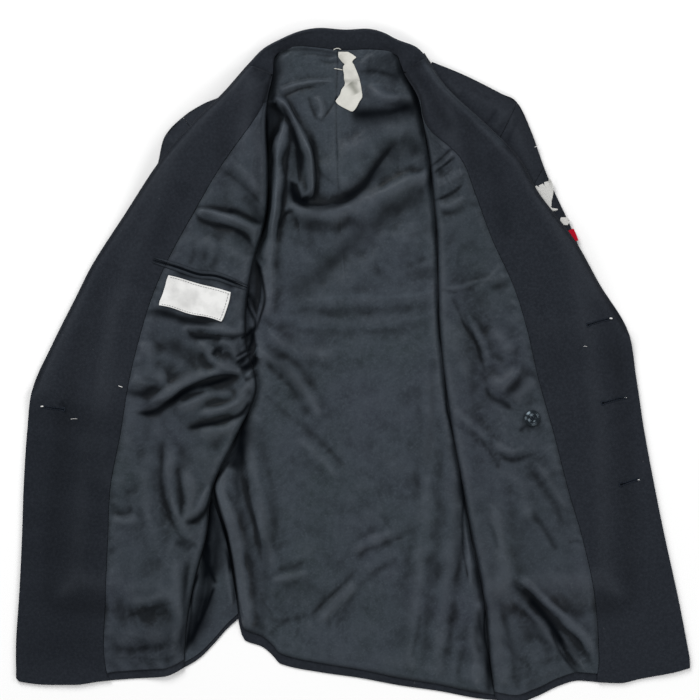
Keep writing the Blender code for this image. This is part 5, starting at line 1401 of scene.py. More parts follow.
def new_material(name, roughness, specular, sheen=0.0, sheen_roughness=0.5, sheen_tint=(1.0, 1.0, 1.0)):
    """A cloth or plastic material, its node tree and its shader."""
    material = bpy.data.materials.new(name)
    material.use_nodes = True
    tree = material.node_tree
    shader = tree.nodes["Principled BSDF"]
    shader.inputs["Roughness"].default_value = roughness
    shader.inputs["Specular IOR Level"].default_value = specular
    shader.inputs["Sheen Weight"].default_value = sheen
    shader.inputs["Sheen Roughness"].default_value = sheen_roughness
    shader.inputs["Sheen Tint"].default_value = (*sheen_tint, 1.0)
    return material, tree, shader


def feed(tree, socket, value):
    """Link a socket to another one, or set it to a value."""
    if isinstance(value, bpy.types.NodeSocket):
        tree.links.new(value, socket)
    else:
        socket.default_value = value


def node(tree, kind, **inputs):
    """A node with some of its inputs set or linked."""
    made = tree.nodes.new(kind)
    for key, value in inputs.items():
        feed(tree, made.inputs[key.replace("_", " ")], value)
    return made


def place_on(tree, stretch=(1.0, 1.0, 1.0), turn=0.0):
    """Object coordinates, stretched and turned about the vertical."""
    source = tree.nodes.new("ShaderNodeTexCoord")
    mapping = node(tree, "ShaderNodeMapping", Vector=source.outputs["Object"])
    mapping.inputs["Scale"].default_value = stretch
    mapping.inputs["Rotation"].default_value = (0.0, 0.0, math.radians(turn))
    return mapping.outputs["Vector"]


def noise(tree, scale, detail=3.0, stretch=(1.0, 1.0, 1.0), turn=0.0, roughness=0.5):
    """A noise value, with scale in cells to the metre."""
    made = node(tree, "ShaderNodeTexNoise", Vector=place_on(tree, stretch, turn), Scale=scale,
                Detail=detail, Roughness=roughness)
    return made.outputs["Fac"]


def waves(tree, scale, turn, distortion=1.0):
    """Fine parallel threads, with scale in threads to the metre."""
    made = node(tree, "ShaderNodeTexWave", Vector=place_on(tree, turn=turn), Scale=scale * WAVE_SCALE,
                Distortion=distortion, Detail=1.0, Detail_Scale=2.0)
    return made.outputs["Fac"]


def times(tree, first, second):
    """The product of two values or sockets."""
    made = tree.nodes.new("ShaderNodeMath")
    made.operation = "MULTIPLY"
    for socket, value in zip(made.inputs, (first, second)):
        feed(tree, socket, value)
    return made.outputs["Value"]


def mix(tree, share, first, second):
    """One colour mixed into another."""
    made = tree.nodes.new("ShaderNodeMix")
    made.data_type = "RGBA"
    enabled = [socket for socket in made.inputs if socket.enabled and socket.type in ("RGBA", "VALUE")]
    for key, value in (("Factor", share), ("A", first), ("B", second)):
        socket = next(one for one in enabled if one.name == key)
        feed(tree, socket, (*value, 1.0) if isinstance(value, tuple) else value)
    return next(socket for socket in made.outputs if socket.enabled)


def between_values(tree, value, low, high, least=0.0, most=1.0):
    """A value brought from low..high to least..most."""
    made = node(tree, "ShaderNodeMapRange", Value=value, From_Min=low, From_Max=high, To_Min=least,
                To_Max=most)
    return made.outputs["Result"]


def bump(tree, height, distance, strength, below=None):
    """A bumped normal, over another one."""
    made = node(tree, "ShaderNodeBump", Height=height, Distance=distance, Strength=strength)
    if below is not None:
        tree.links.new(below, made.inputs["Normal"])
    return made.outputs["Normal"]


def attribute(tree, name):
    """A value that a grid of cloth carries."""
    made = tree.nodes.new("ShaderNodeAttribute")
    made.attribute_name = name
    return made.outputs["Fac"]


def shaded_by_folds(tree, colour, groove, ridge):
    """Colour with painted shade in grooves and hollows, a painted highlight on ridges, and painted light
    and shade from the cloth's darkness.
    """
    hollow = attribute(tree, "hollow")
    sunk = between_values(tree, hollow, 0.05, 1.5)
    raised = between_values(tree, times(tree, hollow, -1.0), 0.05, 1.6)
    # Painted shade: the colour drawn towards black in grooves and hollows.
    deeper = mix(tree, times(tree, sunk, groove), colour, BLACK)
    # Painted highlight: the colour drawn lighter on ridges.
    ridge_highlighted = mix(tree, times(tree, raised, ridge), deeper, PAINTED_RIDGE_HIGHLIGHT)
    # Painted light where the darkness is below zero.
    lighter = between_values(tree, times(tree, attribute(tree, "dark"), -1.0), 0.0, 1.0)
    lit = mix(tree, lighter, ridge_highlighted, LIT_CREST)
    # Painted shade where the cloth lies dark in its folds.
    return mix(tree, between_values(tree, attribute(tree, "dark"), 0.0, 1.0), lit, DEEP_SHADE)


def dulled_by_folds(tree, gloss):
    """Roughness that rises where no light gets in."""
    return between_values(tree, attribute(tree, "dark"), 0.0, 1.0, gloss, 1.0)


def wool_material(name):
    """Milled navy wool: matt, with a fine nap, a faint twill and a little lint."""
    material, tree, shader = new_material(name, 0.92, 0.06, 0.04, 0.5, (0.70, 0.75, 0.85))
    broad = noise(tree, 22.0, 5.0, roughness=0.62)
    grain = noise(tree, 300.0, 3.0, roughness=0.7)
    fine = noise(tree, 900.0, 3.0, roughness=0.7)
    twill = waves(tree, 1250.0, 52.0, 1.5)
    base = mix(tree, between_values(tree, broad, 0.30, 0.70, 0.2, 0.8), WOOL_DARK, WOOL_LIGHT)
    grained = mix(tree, between_values(tree, grain, 0.40, 0.80), base, WOOL_NAP)
    napped = mix(tree, times(tree, fine, 0.35), grained, WOOL_NAP)
    lint = between_values(tree, noise(tree, 420.0, 2.0, (1.0, 0.35, 1.0), 25.0), 0.755, 0.80)
    specked = mix(tree, times(tree, lint, 0.40), napped, LINT)
    tree.links.new(shaded_by_folds(tree, specked, 0.25, 0.05), shader.inputs["Base Color"])
    cloth = bump(tree, twill, 0.00012, 0.35, bump(tree, fine, 0.00035, 0.45))
    tree.links.new(bump(tree, noise(tree, 90.0, 4.0), 0.0012, 0.20, cloth), shader.inputs["Normal"])
    return material


def lining_material():
    """Slate satin lining: smooth threads, a soft sheen and crumpled all over."""
    material, tree, shader = new_material("slate_lining", 0.42, 0.075, 0.02, 0.35, (0.70, 0.80, 0.95))
    broad = noise(tree, 9.0, 3.0)
    patches = noise(tree, 32.0, 4.0, roughness=0.6)
    mottle = noise(tree, 130.0, 5.0, roughness=0.72)
    grain = noise(tree, 420.0, 2.0)
    base = mix(tree, between_values(tree, broad, 0.35, 0.65), LINING_GREEN, LINING_BLUE)
    patched = mix(tree, between_values(tree, patches, 0.38, 0.72, 0.0, 0.55), base, LINING_LIGHT)
    mottled = mix(tree, between_values(tree, mottle, 0.34, 0.74, 0.0, 0.8), patched, LINING_LIGHT)
    flecked = mix(tree, between_values(tree, grain, 0.55, 0.85, 0.0, 0.45), mottled, LINING_FLECK)
    dusky = mix(tree, between_values(tree, grain, 0.45, 0.15, 0.0, 0.30), flecked, LINING_SHADE)
    threads = waves(tree, 2400.0, 3.0, 0.6)
    tree.links.new(shaded_by_folds(tree, dusky, 0.70, 0.14), shader.inputs["Base Color"])
    tree.links.new(dulled_by_folds(tree, 0.40), shader.inputs["Roughness"])
    weave = bump(tree, threads, 0.00004, 0.25)
    slubs = bump(tree, noise(tree, 700.0, 2.0, (1.0, 0.08, 1.0), 88.0), 0.00010, 0.35, weave)
    crumpled = bump(tree, noise(tree, 150.0, 5.0, roughness=0.60), 0.0010, 0.42, slubs)
    rumpled = bump(tree, noise(tree, 42.0, 3.0, (1.0, 1.6, 1.0), 20.0), 0.0022, 0.32, crumpled)
    tree.links.new(rumpled, shader.inputs["Normal"])
    return material


def tape_material(name, tone):
    """White cotton tape with a plain weave, a little soiled, with stains and painted shade where it
    carries them.
    """
    material, tree, shader = new_material(name, 0.85, 0.15, 0.05)
    soil = noise(tree, 60.0, 4.0)
    soiled = tuple(TAPE_SOIL * value for value in tone)
    base = mix(tree, between_values(tree, soil, 0.42, 0.70), tone, soiled)
    # stains, and painted shade under the tape's fold, from its darkness
    stained_and_shaded = mix(tree, between_values(tree, attribute(tree, "dark"), 0.0, 1.0), base, TAPE_STAIN_AND_SHADE)
    tree.links.new(stained_and_shaded, shader.inputs["Base Color"])
    threads = bump(tree, waves(tree, 1500.0, 0.0, 0.3), 0.00006, 0.4)
    crossing = bump(tree, waves(tree, 1500.0, 90.0, 0.3), 0.00006, 0.4, threads)
    tree.links.new(bump(tree, noise(tree, 120.0, 3.0), 0.0010, 0.25, crossing), shader.inputs["Normal"])
    return material


def thread_material(name, colour, roughness=0.6, specular=0.35, sheen=0.15):
    """Twisted sewing thread or embroidery floss."""
    material, tree, shader = new_material(name, roughness, specular, sheen, 0.4)
    deeper = tuple(THREAD_SHADE * value for value in colour)
    tree.links.new(mix(tree, noise(tree, 700.0, 2.0), colour, deeper), shader.inputs["Base Color"])
    ply = bump(tree, waves(tree, 1800.0, 35.0, 0.5), 0.00012, 0.5)
    tree.links.new(ply, shader.inputs["Normal"])
    return material


def button_material():
    """Polished black button, with faint scratches."""
    material, tree, shader = new_material("black_button", 0.22, 0.60)
    shader.inputs["Specular Tint"].default_value = (*BUTTON_TINT, 1.0)
    shade = mix(tree, noise(tree, 200.0, 2.0), BUTTON_BLACK, BUTTON_GREY)
    tree.links.new(shade, shader.inputs["Base Color"])
    scratched = bump(tree, noise(tree, 1500.0, 2.0, (1.0, 0.1, 1.0), 30.0), 0.00002, 0.15)
    tree.links.new(scratched, shader.inputs["Normal"])
    return material


def floor_material():
    """Plain pale backdrop."""
    material, _, shader = new_material("pale_floor", 0.9, 0.1)
    shader.inputs["Base Color"].default_value = (*FLOOR_WHITE, 1.0)
    return material


# ---------------------------------------------------------------------------- pieces


def back_lining_top(x, y):
    """Upper face of the back lining with its creases; their push; and its painted shade and light."""
    right = x - by_height(FOLD_RIGHT, 2, y)
    left = by_height(FOLD_LEFT, 2, y) - x
    hem = y - edge_line(HEM_BACK, x)
    rolled = ramp((BACK_ROLL_TOP - y) / BACK_ROLL_RUN)
    freer = 12.0 - 8.0 * rolled
    free = np.minimum(ramp(right / freer), ramp(left / 8.0))
    free_hem = ramp((hem - 5) / 20.0)
    lift, push, troughs = creased(BACK_CREASES, x, y)
    depth, dark = pitted(BACK_PITS, x, y)
    slack = 1.0 * ripple(x, y, 3, 30, 70) + 0.35 * ripple(x, y, 4, 12, 26)
    slack += restless(x, y) * (0.55 * crumple(x, y, 5, 11) + 0.50 * crumple(x, y, 6, 6))
    edge_roll = BACK_ROLL_HEIGHT * rolled * hump(right, 6, 9)
    dark = darkened(np.maximum(dark, troughs), shaded(BACK_SHADES, x, y))
    rise = BACK_SLACK + slack + lift + edge_roll
    top = WOOL + GAP + LINING + rise * free * free_hem - depth
    seam = hump(x - centre_line(y), 0, SEAM_WIDTH)
    top = top - SEAM_DEPTH * ramp((y - SEAM_SHOWS_ABOVE) / 15) * seam
    hem_puff = 1.3 * hump(hem - HEM_STRIP, 5, 5)
    top = above(WOOL + 0.6, top + hem_puff * ramp(right / 6), 0.8)
    return top, push * (free * free_hem)[..., None], dark


def centre_line(y):
    """The centre back seam of the lining."""
    rows = sorted((row[2], row[1]) for row in BACK)
    return through([row[0] for row in rows], [row[1] for row in rows], y)


def make_back_lining(lining):
    """The two halves of the back lining, sewn down the middle."""
    levels = np.linspace(0, len(BACK) - 1, 430)
    right = fold_line(FOLD_RIGHT, 2, column(BACK, 0, levels))
    left = fold_line(FOLD_LEFT, 2, column(BACK, 3, levels))
    centre = pairs(BACK, 1, levels)
    pieces = []
    for name, outer in (("back_lining_right", right), ("back_lining_left", left)):
        steps = inset_steps(outer, centre, 76, 0.3, 0.0, near_start=(0.8, 1.8, 3.0))
        plan = between(outer, centre, steps)
        x = plan[..., 0]
        neck_bend = edge_line(NECK, x) + UNDER_COLLAR - plan[:1, :, 1]
        hem_bend = edge_line(HEM_BACK, x) + HEM_STRIP - plan[-1:, :, 1]
        plan[..., 1] += neck_bend * (1 - ramp(levels / 2.0))[:, None]
        plan[..., 1] += hem_bend * ramp((levels - len(BACK) + 4.0) / 3.0)[:, None]
        top, push, dark = back_lining_top(*xy(plan))
        grid = cloth_grid(plan, top, push, dark)
        grid = apron(grid, "start", 5.0, WOOL + 0.4)
        grid = border(grid, "last", 0.7, OPEN_TURN, 4.0)
        piece = open_sheet(name.replace("lining", "cloth"), grid, lining)
        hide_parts(name)
        pieces.append(piece)
    return pieces


def front_lining_top(side, x, y):
    """Upper face of a front's lining with its creases; their push; and its painted shade and light."""
    seed = side.seed
    hem = y - edge_line(side.hem, x)
    from_seam = np.abs(x - by_height(side.front_seam, 1, y))
    from_fold = np.abs(x - by_height(side.fold, 1, y))
    free = ramp((from_seam + 1.0) / 9.0) * ramp((hem - 8) / 18.0) * ramp((from_fold + 2) / 8)
    lift, push, troughs = creased(side.creases, x, y)
    depth, dark = pitted(side.pits, x, y)
    slack = 0.9 * ripple(x, y, seed, 24, 56) + 0.35 * ripple(x, y, seed + 4, 11, 24)
    slack += restless(x, y) * (0.60 * crumple(x, y, seed + 1, 10) + 0.52 * crumple(x, y, seed + 5, 6))
    pucker = 0.55 * hump(from_seam, 5, 6) * ripple(x, y, seed + 2, 9, 17, 90, 25, 10)
    dark = darkened(np.maximum(dark, troughs * free), shaded(side.shades, x, y))
    dark = darkened(dark, np.full(x.shape, FRONT_LINING_DUSK))
    gathered = 0.9 * hump(hem, 17, 9) * ripple(x, y, seed + 3, 10, 22, 20, 35, 12)
    puff = 1.0 * hump(hem - HEM_STRIP, 6, 5)
    cloth = front_top(side, x, y) + GAP
    relief = (FRONT_SLACK + slack + lift) * free + pucker + gathered + puff - depth
    top = above(cloth + 0.3, cloth + LINING + relief, 0.5)
    return top, push * free[..., None], dark


def make_shell(name, side, wool):
    """Outer cloth of one front."""
    levels = np.linspace(0, len(side.front) - 1, 120)
    fold, seam, edge = front_lines(side, levels)
    inward = (fold - edge) / np.linalg.norm(fold - edge, axis=-1)[:, None]
    rolled = 1 - ramp((levels - side.roll_end + 0.5) / 1.0)
    edge = edge + inward * (ROLL_INSET * rolled)[:, None]
    inner = between(fold, seam, inset_steps(fold, seam, 16, SEAM, 0, near_start=(1.0, 3.0, 6.0)))
    outer = between(seam, edge, inset_steps(seam, edge, 14, 0, 0, near_end=(3.0, 9.0)))
    plan = to_hem(side, np.concatenate([inner, outer[:, 1:]], axis=1), levels)
    grid = cloth_grid(plan, front_top(side, *xy(plan)), reach=3)
    shell = closed_sheet("front_outer_" + name, grid, WOOL, wool)
    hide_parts("front_shell_" + name)


def make_facing(name, side, wool):
    """The wool facing inside one front, which rolls over the edge where the lapel folds under."""
    levels = np.linspace(0, len(side.front) - 1, 330)
    _, seam, edge = front_lines(side, levels)
    steps = inset_steps(seam, edge, 46, SEAM, 0, near_end=(1.5, 3.5, 6.0))
    plan = to_hem(side, between(seam, edge, steps), levels)
    x, y = xy(plan)
    lift, push, dark = creased(side.facing_creases, x, y)
    dark = darkened(dark, shaded(side.facing_shades, x, y))
    slack = 0.45 * ripple(x, y, side.seed + 7, 45, 110) + 0.10 * ripple(x, y, side.seed + 8, 14, 30)
    from_edge = path_distance([tuple(point) for point in edge[::6]], x, y)
    settled = ramp(from_edge / 14)
    top = front_top(side, x, y) + GAP + WOOL + (slack + lift) * settled
    grid = cloth_grid(plan, top, push, dark)
    rolled = 1 - ramp((levels - side.roll_end + 0.6) / 1.2)
    radius = FACING_ROUND + (ROLL_RADIUS - FACING_ROUND) * rolled
    grid = border(grid, "end", radius, OPEN_TURN, 2.0 + 12.0 * rolled)
    grid = border(grid, "start", 0.7, OPEN_TURN, 1.5)
    grid = apron(grid, "first", 7.0, 9.0, 1.5)
    grid = border(grid, "last", FACING_ROUND, OPEN_TURN, 2.0)
    facing = open_sheet("facing_cloth_" + name, grid, wool)
    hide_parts("facing_" + name)
    return facing


def make_front_lining(name, side, lining):
    """The satin lining of one front."""
    levels = np.linspace(LINING_TIP, LINING_ROW, 400)
    fold, seam, _ = front_lines(side, levels)
    steps = inset_steps(fold, seam, 70, SEAM, SEAM, near_start=(0.12, 0.45, 1.0, 1.9, 3.2))
    plan = to_hem(side, between(fold, seam, steps), levels)
    top, push, dark = front_lining_top(side, *xy(plan))
    grid = cloth_grid(plan, top, push, dark)
    borders = (("start", 0.5, 3.0), ("end", 0.4, 1.0), ("first", 0.4, 1.0), ("last", 0.6, 3.0))
    for edge, radius, tuck in borders:
        grid = border(grid, edge, radius, OPEN_TURN, tuck)
    inside = open_sheet("lining_cloth_" + name, grid, lining)
    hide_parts("front_lining_" + name)
    return inside


def make_front(name, side, wool, lining):
    """Outer cloth, facing and lining of one front."""
    make_shell(name, side, wool)
    return make_facing(name, side, wool), make_front_lining(name, side, lining)


def make_lapel(name, side, wool):
    """The lapel, folded under along the roll and lying against the front."""
    levels = np.linspace(side.lapel[0][0], side.lapel[-1][0], 90)
    width = through([row[0] for row in side.lapel], [row[1] for row in side.lapel], levels)
    fold, _, edge = front_lines(side, levels)
    inward = fold - edge
    room = np.linalg.norm(inward, axis=-1)
    inward /= room[:, None]
    width = np.minimum(width, room - LAPEL_SETBACK * 1.4 - 3 * LIP_WIDTH)
    start = edge + inward * LAPEL_SETBACK * 1.4
    end = start + inward * width[:, None]
    plan = between(start, end, np.linspace(0, 1, 20))
    top = front_floor(side, *xy(plan)) - LAPEL_SEAT - 0.5
    grid = cloth_grid(plan, top, reach=2)
    lapel = closed_sheet("lapel_cloth_" + name, grid, LAPEL_THICKNESS - 0.6, wool)
    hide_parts("lapel_" + name)


def sleeve_rows(side, first, end, rows, columns):
    """Plan of a stretch of the sleeve, with its lines closer together at the edges."""
    levels = np.linspace(first, end, rows)
    steps = 0.5 - 0.5 * np.cos(np.linspace(0, math.pi, columns))
    return between(pairs(side.sleeve, 0, levels), pairs(side.sleeve, 2, levels), steps)


def make_sleeve(name, side, wool):
    """The upper sleeve and the under sleeve, flattened on each other."""
    last = len(side.sleeve) - 1
    start = ARMHOLE_ROW + ARMHOLE_GAP
    plan = sleeve_rows(side, start, last, 170, 60)
    x, y = xy(plan)
    depth = ramp(inside_depth(side.sleeve_outline, x, y) / 18)
    slack = 0.5 * ripple(x, y, side.seed + 11, 30, 80) + 0.12 * ripple(x, y, side.seed + 12, 12, 26)
    lift, push, dark = creased(SHOULDER_CREASES, x, y)
    top = sleeve_top(side, x, y) + WOOL + (slack * 0.6 + lift) * depth
    grid = cloth_grid(plan, top, push, dark, reach=3)
    grid = bordered(grid, SLEEVE_ROLL, OPEN_TURN[1:], sides=("start", "end"))
    grid = border(grid, "first", 0.8, OPEN_TURN, 1.0)
    grid = border(grid, "last", 1.2, OPEN_TURN, 2.0)
    upper = open_sheet("sleeve_" + name, grid, wool)
    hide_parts("sleeve_top_" + name)

    under = ground_sheet("under_sleeve_" + name, sleeve_rows(side, start, last, 90, 20), wool)
    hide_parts("sleeve_under_" + name)
    return upper


def make_shoulder(name, side, wool):
    """The padded shoulder above a sleeve, with its edges brought down to the ground side."""
    plan = sleeve_rows(side, 0, ARMHOLE_ROW - ARMHOLE_GAP, 80, 60)
    x, y = xy(plan)
    depth = ramp(inside_depth(side.sleeve_outline, x, y) / 14)
    lift, push, dark = creased(SHOULDER_CREASES, x, y)
    top = sleeve_top(side, x, y) + WOOL + (0.35 * ripple(x, y, side.seed + 13, 25, 60) + lift) * depth
    grid = cloth_grid(plan, top, push, dark, reach=3)
    grid = border(grid, "last", 0.9, OPEN_TURN[2:])
    grid = bordered(grid, 1.2, OPEN_TURN, 3.0, ("start", "end", "first"))
    shoulder = open_sheet("shoulder_cloth_" + name, grid, wool)
    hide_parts("shoulder_" + name)


def make_back_outer(wool):
    """The back's outer cloth, flat on the ground, with its hem turned up."""
    count = 90
    top, right, left = (path_points(path, count) for path in (BACK_TOP, BACK_RIGHT_EDGE, BACK_LEFT_EDGE))
    hem_x = np.linspace(right[-1, 0], left[-1, 0], count)
    hem = np.stack([hem_x, edge_line(HEM_BACK, hem_x)], axis=-1)
    u = np.linspace(0, 1, count)[None, :, None]
    v = np.linspace(0, 1, count)[:, None, None]
    sides = right[:, None] * (1 - u) + left[:, None] * u
    ends = top[None] * (1 - v) + hem[None] * v
    corners = (top[0] * (1 - u) + top[-1] * u) * (1 - v) + (hem[0] * (1 - u) + hem[-1] * u) * v
    outer = ground_sheet("back_outer", sides + ends - corners, wool)
    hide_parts("back_shell")


def make_side_body(wool, lining):
    """The right side body, seen in the gap between front and back near the hem."""
    levels = np.linspace(0, 1, 110)
    front = fold_line(FOLD_RIGHT, 1, SIDE_TOP - levels * SIDE_FRONT_LENGTH)
    back = fold_line(FOLD_RIGHT, 2, SIDE_TOP - levels * SIDE_BACK_LENGTH)
    front_under = front - np.array([8.0, 0.0])
    back_edge = back - np.array([0.6, 0.0])

    def hemmed(plan, rise):
        """Bend the lower rows of a plan to a line at a height above the hem."""
        bend = edge_line(HEM_SIDE, plan[..., 0]) + rise - plan[-1:, :, 1]
        plan[..., 1] += bend * ramp((levels - 0.6) / 0.4)[:, None]
        return plan

    plan = hemmed(between(front_under, back_edge, np.linspace(0, 1, 24)), 0.0)
    shell = ground_sheet("side_outer_right", plan, wool)
    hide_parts("side_shell_right")

    steps = inset_steps(front, back_edge, 34, 0.3, 0.2)
    plan = hemmed(between(front, back_edge, steps), HEM_STRIP)[8:]
    x, y = xy(plan)
    back_x = by_height(FOLD_RIGHT, 2, y)
    front_x = by_height(FOLD_RIGHT, 1, y)
    across = (x - front_x) / np.maximum(back_x - front_x, 1.0)
    hem = y - edge_line(HEM_SIDE, x)
    depth, dark = pitted(SIDE_PITS, x, y)
    dark = darkened(dark, shaded(SIDE_SHADES, x, y))
    lift, push, _ = creased(SIDE_CREASES, x, y)
    rise = 4.0 * ramp(across) * ramp((hem - 8) / 40)
    relief = (lift + 0.3 * ripple(x, y, 61, 8, 24)) * ramp((hem - 8) / 12)
    top = WOOL + GAP + LINING + rise + relief - depth
    grid = cloth_grid(plan, np.maximum(top, WOOL + 0.5), push, dark, reach=3)
    grid = bordered(grid, 0.5, OPEN_TURN, 1.0)
    inner = open_sheet("side_cloth_right", grid, lining)
    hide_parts("side_lining_right")


def collar_ring(neck_x, neck_y, fold_x, fold_y, neck_z, fold_z):
    """Points round one section of the collar, from the stand over the fold to the fall and back."""
    wall = COLLAR_WALL
    width = math.hypot(fold_x - neck_x, fold_y - neck_y)
    turn = 0.32 * fold_z
    stand = [(0.0, neck_z), (0.35 * width, neck_z + 0.55 * (fold_z - neck_z)),
             (0.7 * width, neck_z + 0.9 * (fold_z - neck_z))]
    bend = [(width - 3.5, fold_z), (width - 0.8, fold_z - turn), (width - 1.8, fold_z - 2.2 * turn)]
    fall = [(0.7 * width, wall), (0.35 * width, wall), (1.5, wall)]
    outside = stand + bend + [(s, z - wall) for s, z in fall]
    inside = fall[::-1] + [(width - 5.5, fold_z - 2.0 * turn), (width - 4.2, fold_z - turn - 0.6),
                           (width - 5.5, fold_z - wall)] + [(s, z - wall) for s, z in stand[::-1]]
    ring = np.concatenate([path_points(part, count) for part, count in ((outside, 34), (inside, 26))])
    along = ring[:, 0] / width
    x = neck_x + (fold_x - neck_x) * along
    y = neck_y + (fold_y - neck_y) * along
    return np.stack([x, y, ring[:, 1]], axis=-1)


def make_collar(wool):
    """The collar: stand uppermost, folded over along its outer edge onto the fall."""
    levels = np.linspace(0, len(COLLAR) - 1, 160)
    sections = zip(*(column(COLLAR, name, levels) for name in range(6)))
    rings = np.array([collar_ring(*section) for section in sections])
    high = rings[..., 2] > COLLAR_SHOWS
    relief = 0.35 * ripple(*xy(rings), 71, 18, 46) + creased(COLLAR_CREASES, *xy(rings))[0]
    rings[..., 2] += np.where(high, relief * ramp((rings[..., 2] - COLLAR_SHOWS) / 3), 0.0)
    faces = ring_faces(*rings.shape[:2], flipped=True)
    collar = finished("collar_cloth", rings.reshape(-1, 3), faces, wool)
    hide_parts("collar")


def directions(line):
    """Unit vectors along a line of points, and across it."""
    ahead = np.gradient(line, axis=0)
    ahead /= np.linalg.norm(ahead, axis=-1)[:, None]
    return ahead, np.stack([-ahead[:, 1], ahead[:, 0]], axis=-1)


def lying(ground, line, lift):
    """A line of points laid on the ground, at a height above it."""
    return np.column_stack([line, ground.height(line[:, 0], line[:, 1]) + lift])


# ---------------------------------------------------------------- what lies on the cloth


class Ground:
    """The upper side of finished pieces, found by dropping a line onto them."""

    def __init__(self, *pieces):
        points = []
        faces = []
        for piece in pieces:
            start = len(points)
            points += [vertex.co.copy() for vertex in piece.data.vertices]
            faces += [[start + index for index in face.vertices] for face in piece.data.polygons]
        self.tree = BVHTree.FromPolygons(points, faces)

    def height(self, x, y):
        """Height in millimetres at each place, or of the nearest point beside the pieces."""
        found = []
        for px, py in zip(np.ravel(x), np.ravel(y)):
            hit = self.tree.ray_cast(Vector((px * MM, py * MM, 0.1)), Vector((0.0, 0.0, -1.0)))[0]
            if hit is None:
                hit = self.tree.find_nearest(Vector((px * MM, py * MM, 0.015)))[0]
            found.append(hit.z / MM)
        return np.array(found).reshape(np.shape(x))

    def crest(self, x, y, reach):
        """Highest of the places around each one."""
        turns = np.linspace(0, 2 * math.pi, 6, endpoint=False)
        ring = [self.height(x + reach * math.cos(t), y + reach * math.sin(t)) for t in turns]
        return np.max([self.height(x, y), *ring], axis=0)


def strip(path, half_widths, ground, lift, dome, rows, columns=7, dark=0.0):
    """A grid for a narrow domed strip along a path, lying on the ground."""
    line = path_points(path, rows)
    _, across = directions(line)
    places = np.linspace(0, 1, len(half_widths))
    widths = np.interp(np.linspace(0, 1, rows), places, half_widths)[:, None]
    plan = between(line - across * widths, line + across * widths, np.linspace(0, 1, columns))
    base = ground.height(*xy(plan))
    middle = base[:, columns // 2][:, None]
    shape = 1 - np.linspace(-1, 1, columns)[None] ** 2
    top = 0.5 * (base + middle) + lift + dome * shape
    return cloth_grid(plan, top, dark=np.full(top.shape, dark), reach=1)


def pad(path, half_widths, ground, lift, dome, rows=14, columns=9):
    """Points and faces of a small raised pad along a path, such as an embroidered shape."""
    grid = strip(path, half_widths, ground, lift, dome, rows, columns)
    grid = bordered(grid, lift + 0.15, OPEN_TURN[3:])
    return grid[..., :3].reshape(-1, 3), grid_faces(grid).tolist()


def make_welts(right_facing, right_lining, lining):
    """The two welts of the inside breast pocket, with its slit between them."""
    ground = Ground(right_facing, right_lining)
    shift_x, shift_y = WELT_SHIFT
    lower = [(x - shift_x, y - shift_y) for x, y in UPPER_WELT]
    middle = [(x - shift_x / 2, y - shift_y / 2) for x, y in UPPER_WELT]
    # a flat strip painted almost black for the shade inside the pocket's opening
    slit = strip(middle, SLIT_HALF_WIDTHS, ground, 1.05, 0.0, 80, 3, dark=SLIT_PAINTED_SHADE)
    opening = open_sheet("pocket_slit_shade", slit, lining)
    for name, path, along in (("upper", UPPER_WELT, [opening]), ("lower", lower, [])):
        grid = strip(path, WELT_HALF_WIDTHS, ground, 0.9, 0.9, 90, dark=WELT_DUSK)
        grid = bordered(grid, 0.5, OPEN_TURN, 0.2)
        welt = open_sheet("welt_cloth_" + name, grid, lining)
        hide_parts("pocket_welt_" + name)


def make_stitches(name, lines, ground, thread):
    """Rows of machine stitches along lines on a piece."""
    stitches = []
    for line in lines:
        length = np.hypot(*np.diff(line, axis=0).T).sum()
        count = int(length / STITCH_PITCH)
        sewn = lying(ground, path_points(line, 4 * count), STITCH_PROUD)
        for one in sewn.reshape(count, 4, 3):
            one[[0, -1], 2] -= STITCH_PROUD
            stitches.append(tube_along(one, STITCH_RADIUS, 5))
    return joined(name, stitches, thread)


def make_name_label(right_facing, right_lining, white, thread):
    """The bare name label below the pocket, sewn down inside its edges."""
    ground = Ground(right_facing, right_lining)
    rows = 30
    columns = 56
    start = path_points(chart(LABEL_LEFT_END), rows)
    end = path_points(chart(LABEL_RIGHT_END), rows)
    steps = np.linspace(0, 1, columns)
    plan = between(start, end, steps)
    sag = LABEL_SAG * np.sin(steps * 3.1 * math.pi)[None] * np.linspace(0.4, 1.0, rows)[:, None]
    plan[..., 1] += sag
    top = blurred(ground.crest(*xy(plan), 2.0), 3) + NAME_LABEL_LIFT
    edge = np.minimum(np.linspace(0, 1, rows), np.linspace(1, 0, rows))[:, None] * np.ones(columns)
    top += 0.6 * (1 - ramp(edge / 0.12)) * np.abs(np.sin(steps * 9.0))[None]
    top += 0.25 * ripple(*xy(plan), 81, 14, 40)
    grid = bordered(cloth_grid(plan, top), 0.4, OPEN_TURN, 0.8)
    label = open_sheet("name_tape", grid, white)
    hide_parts("name_label")
    rows_sewn = (plan[2, 2:-1], plan[-3, 2:-1], plan[2:-2, -3])
    sewing = make_stitches("name_sewing", rows_sewn, Ground(label), thread)


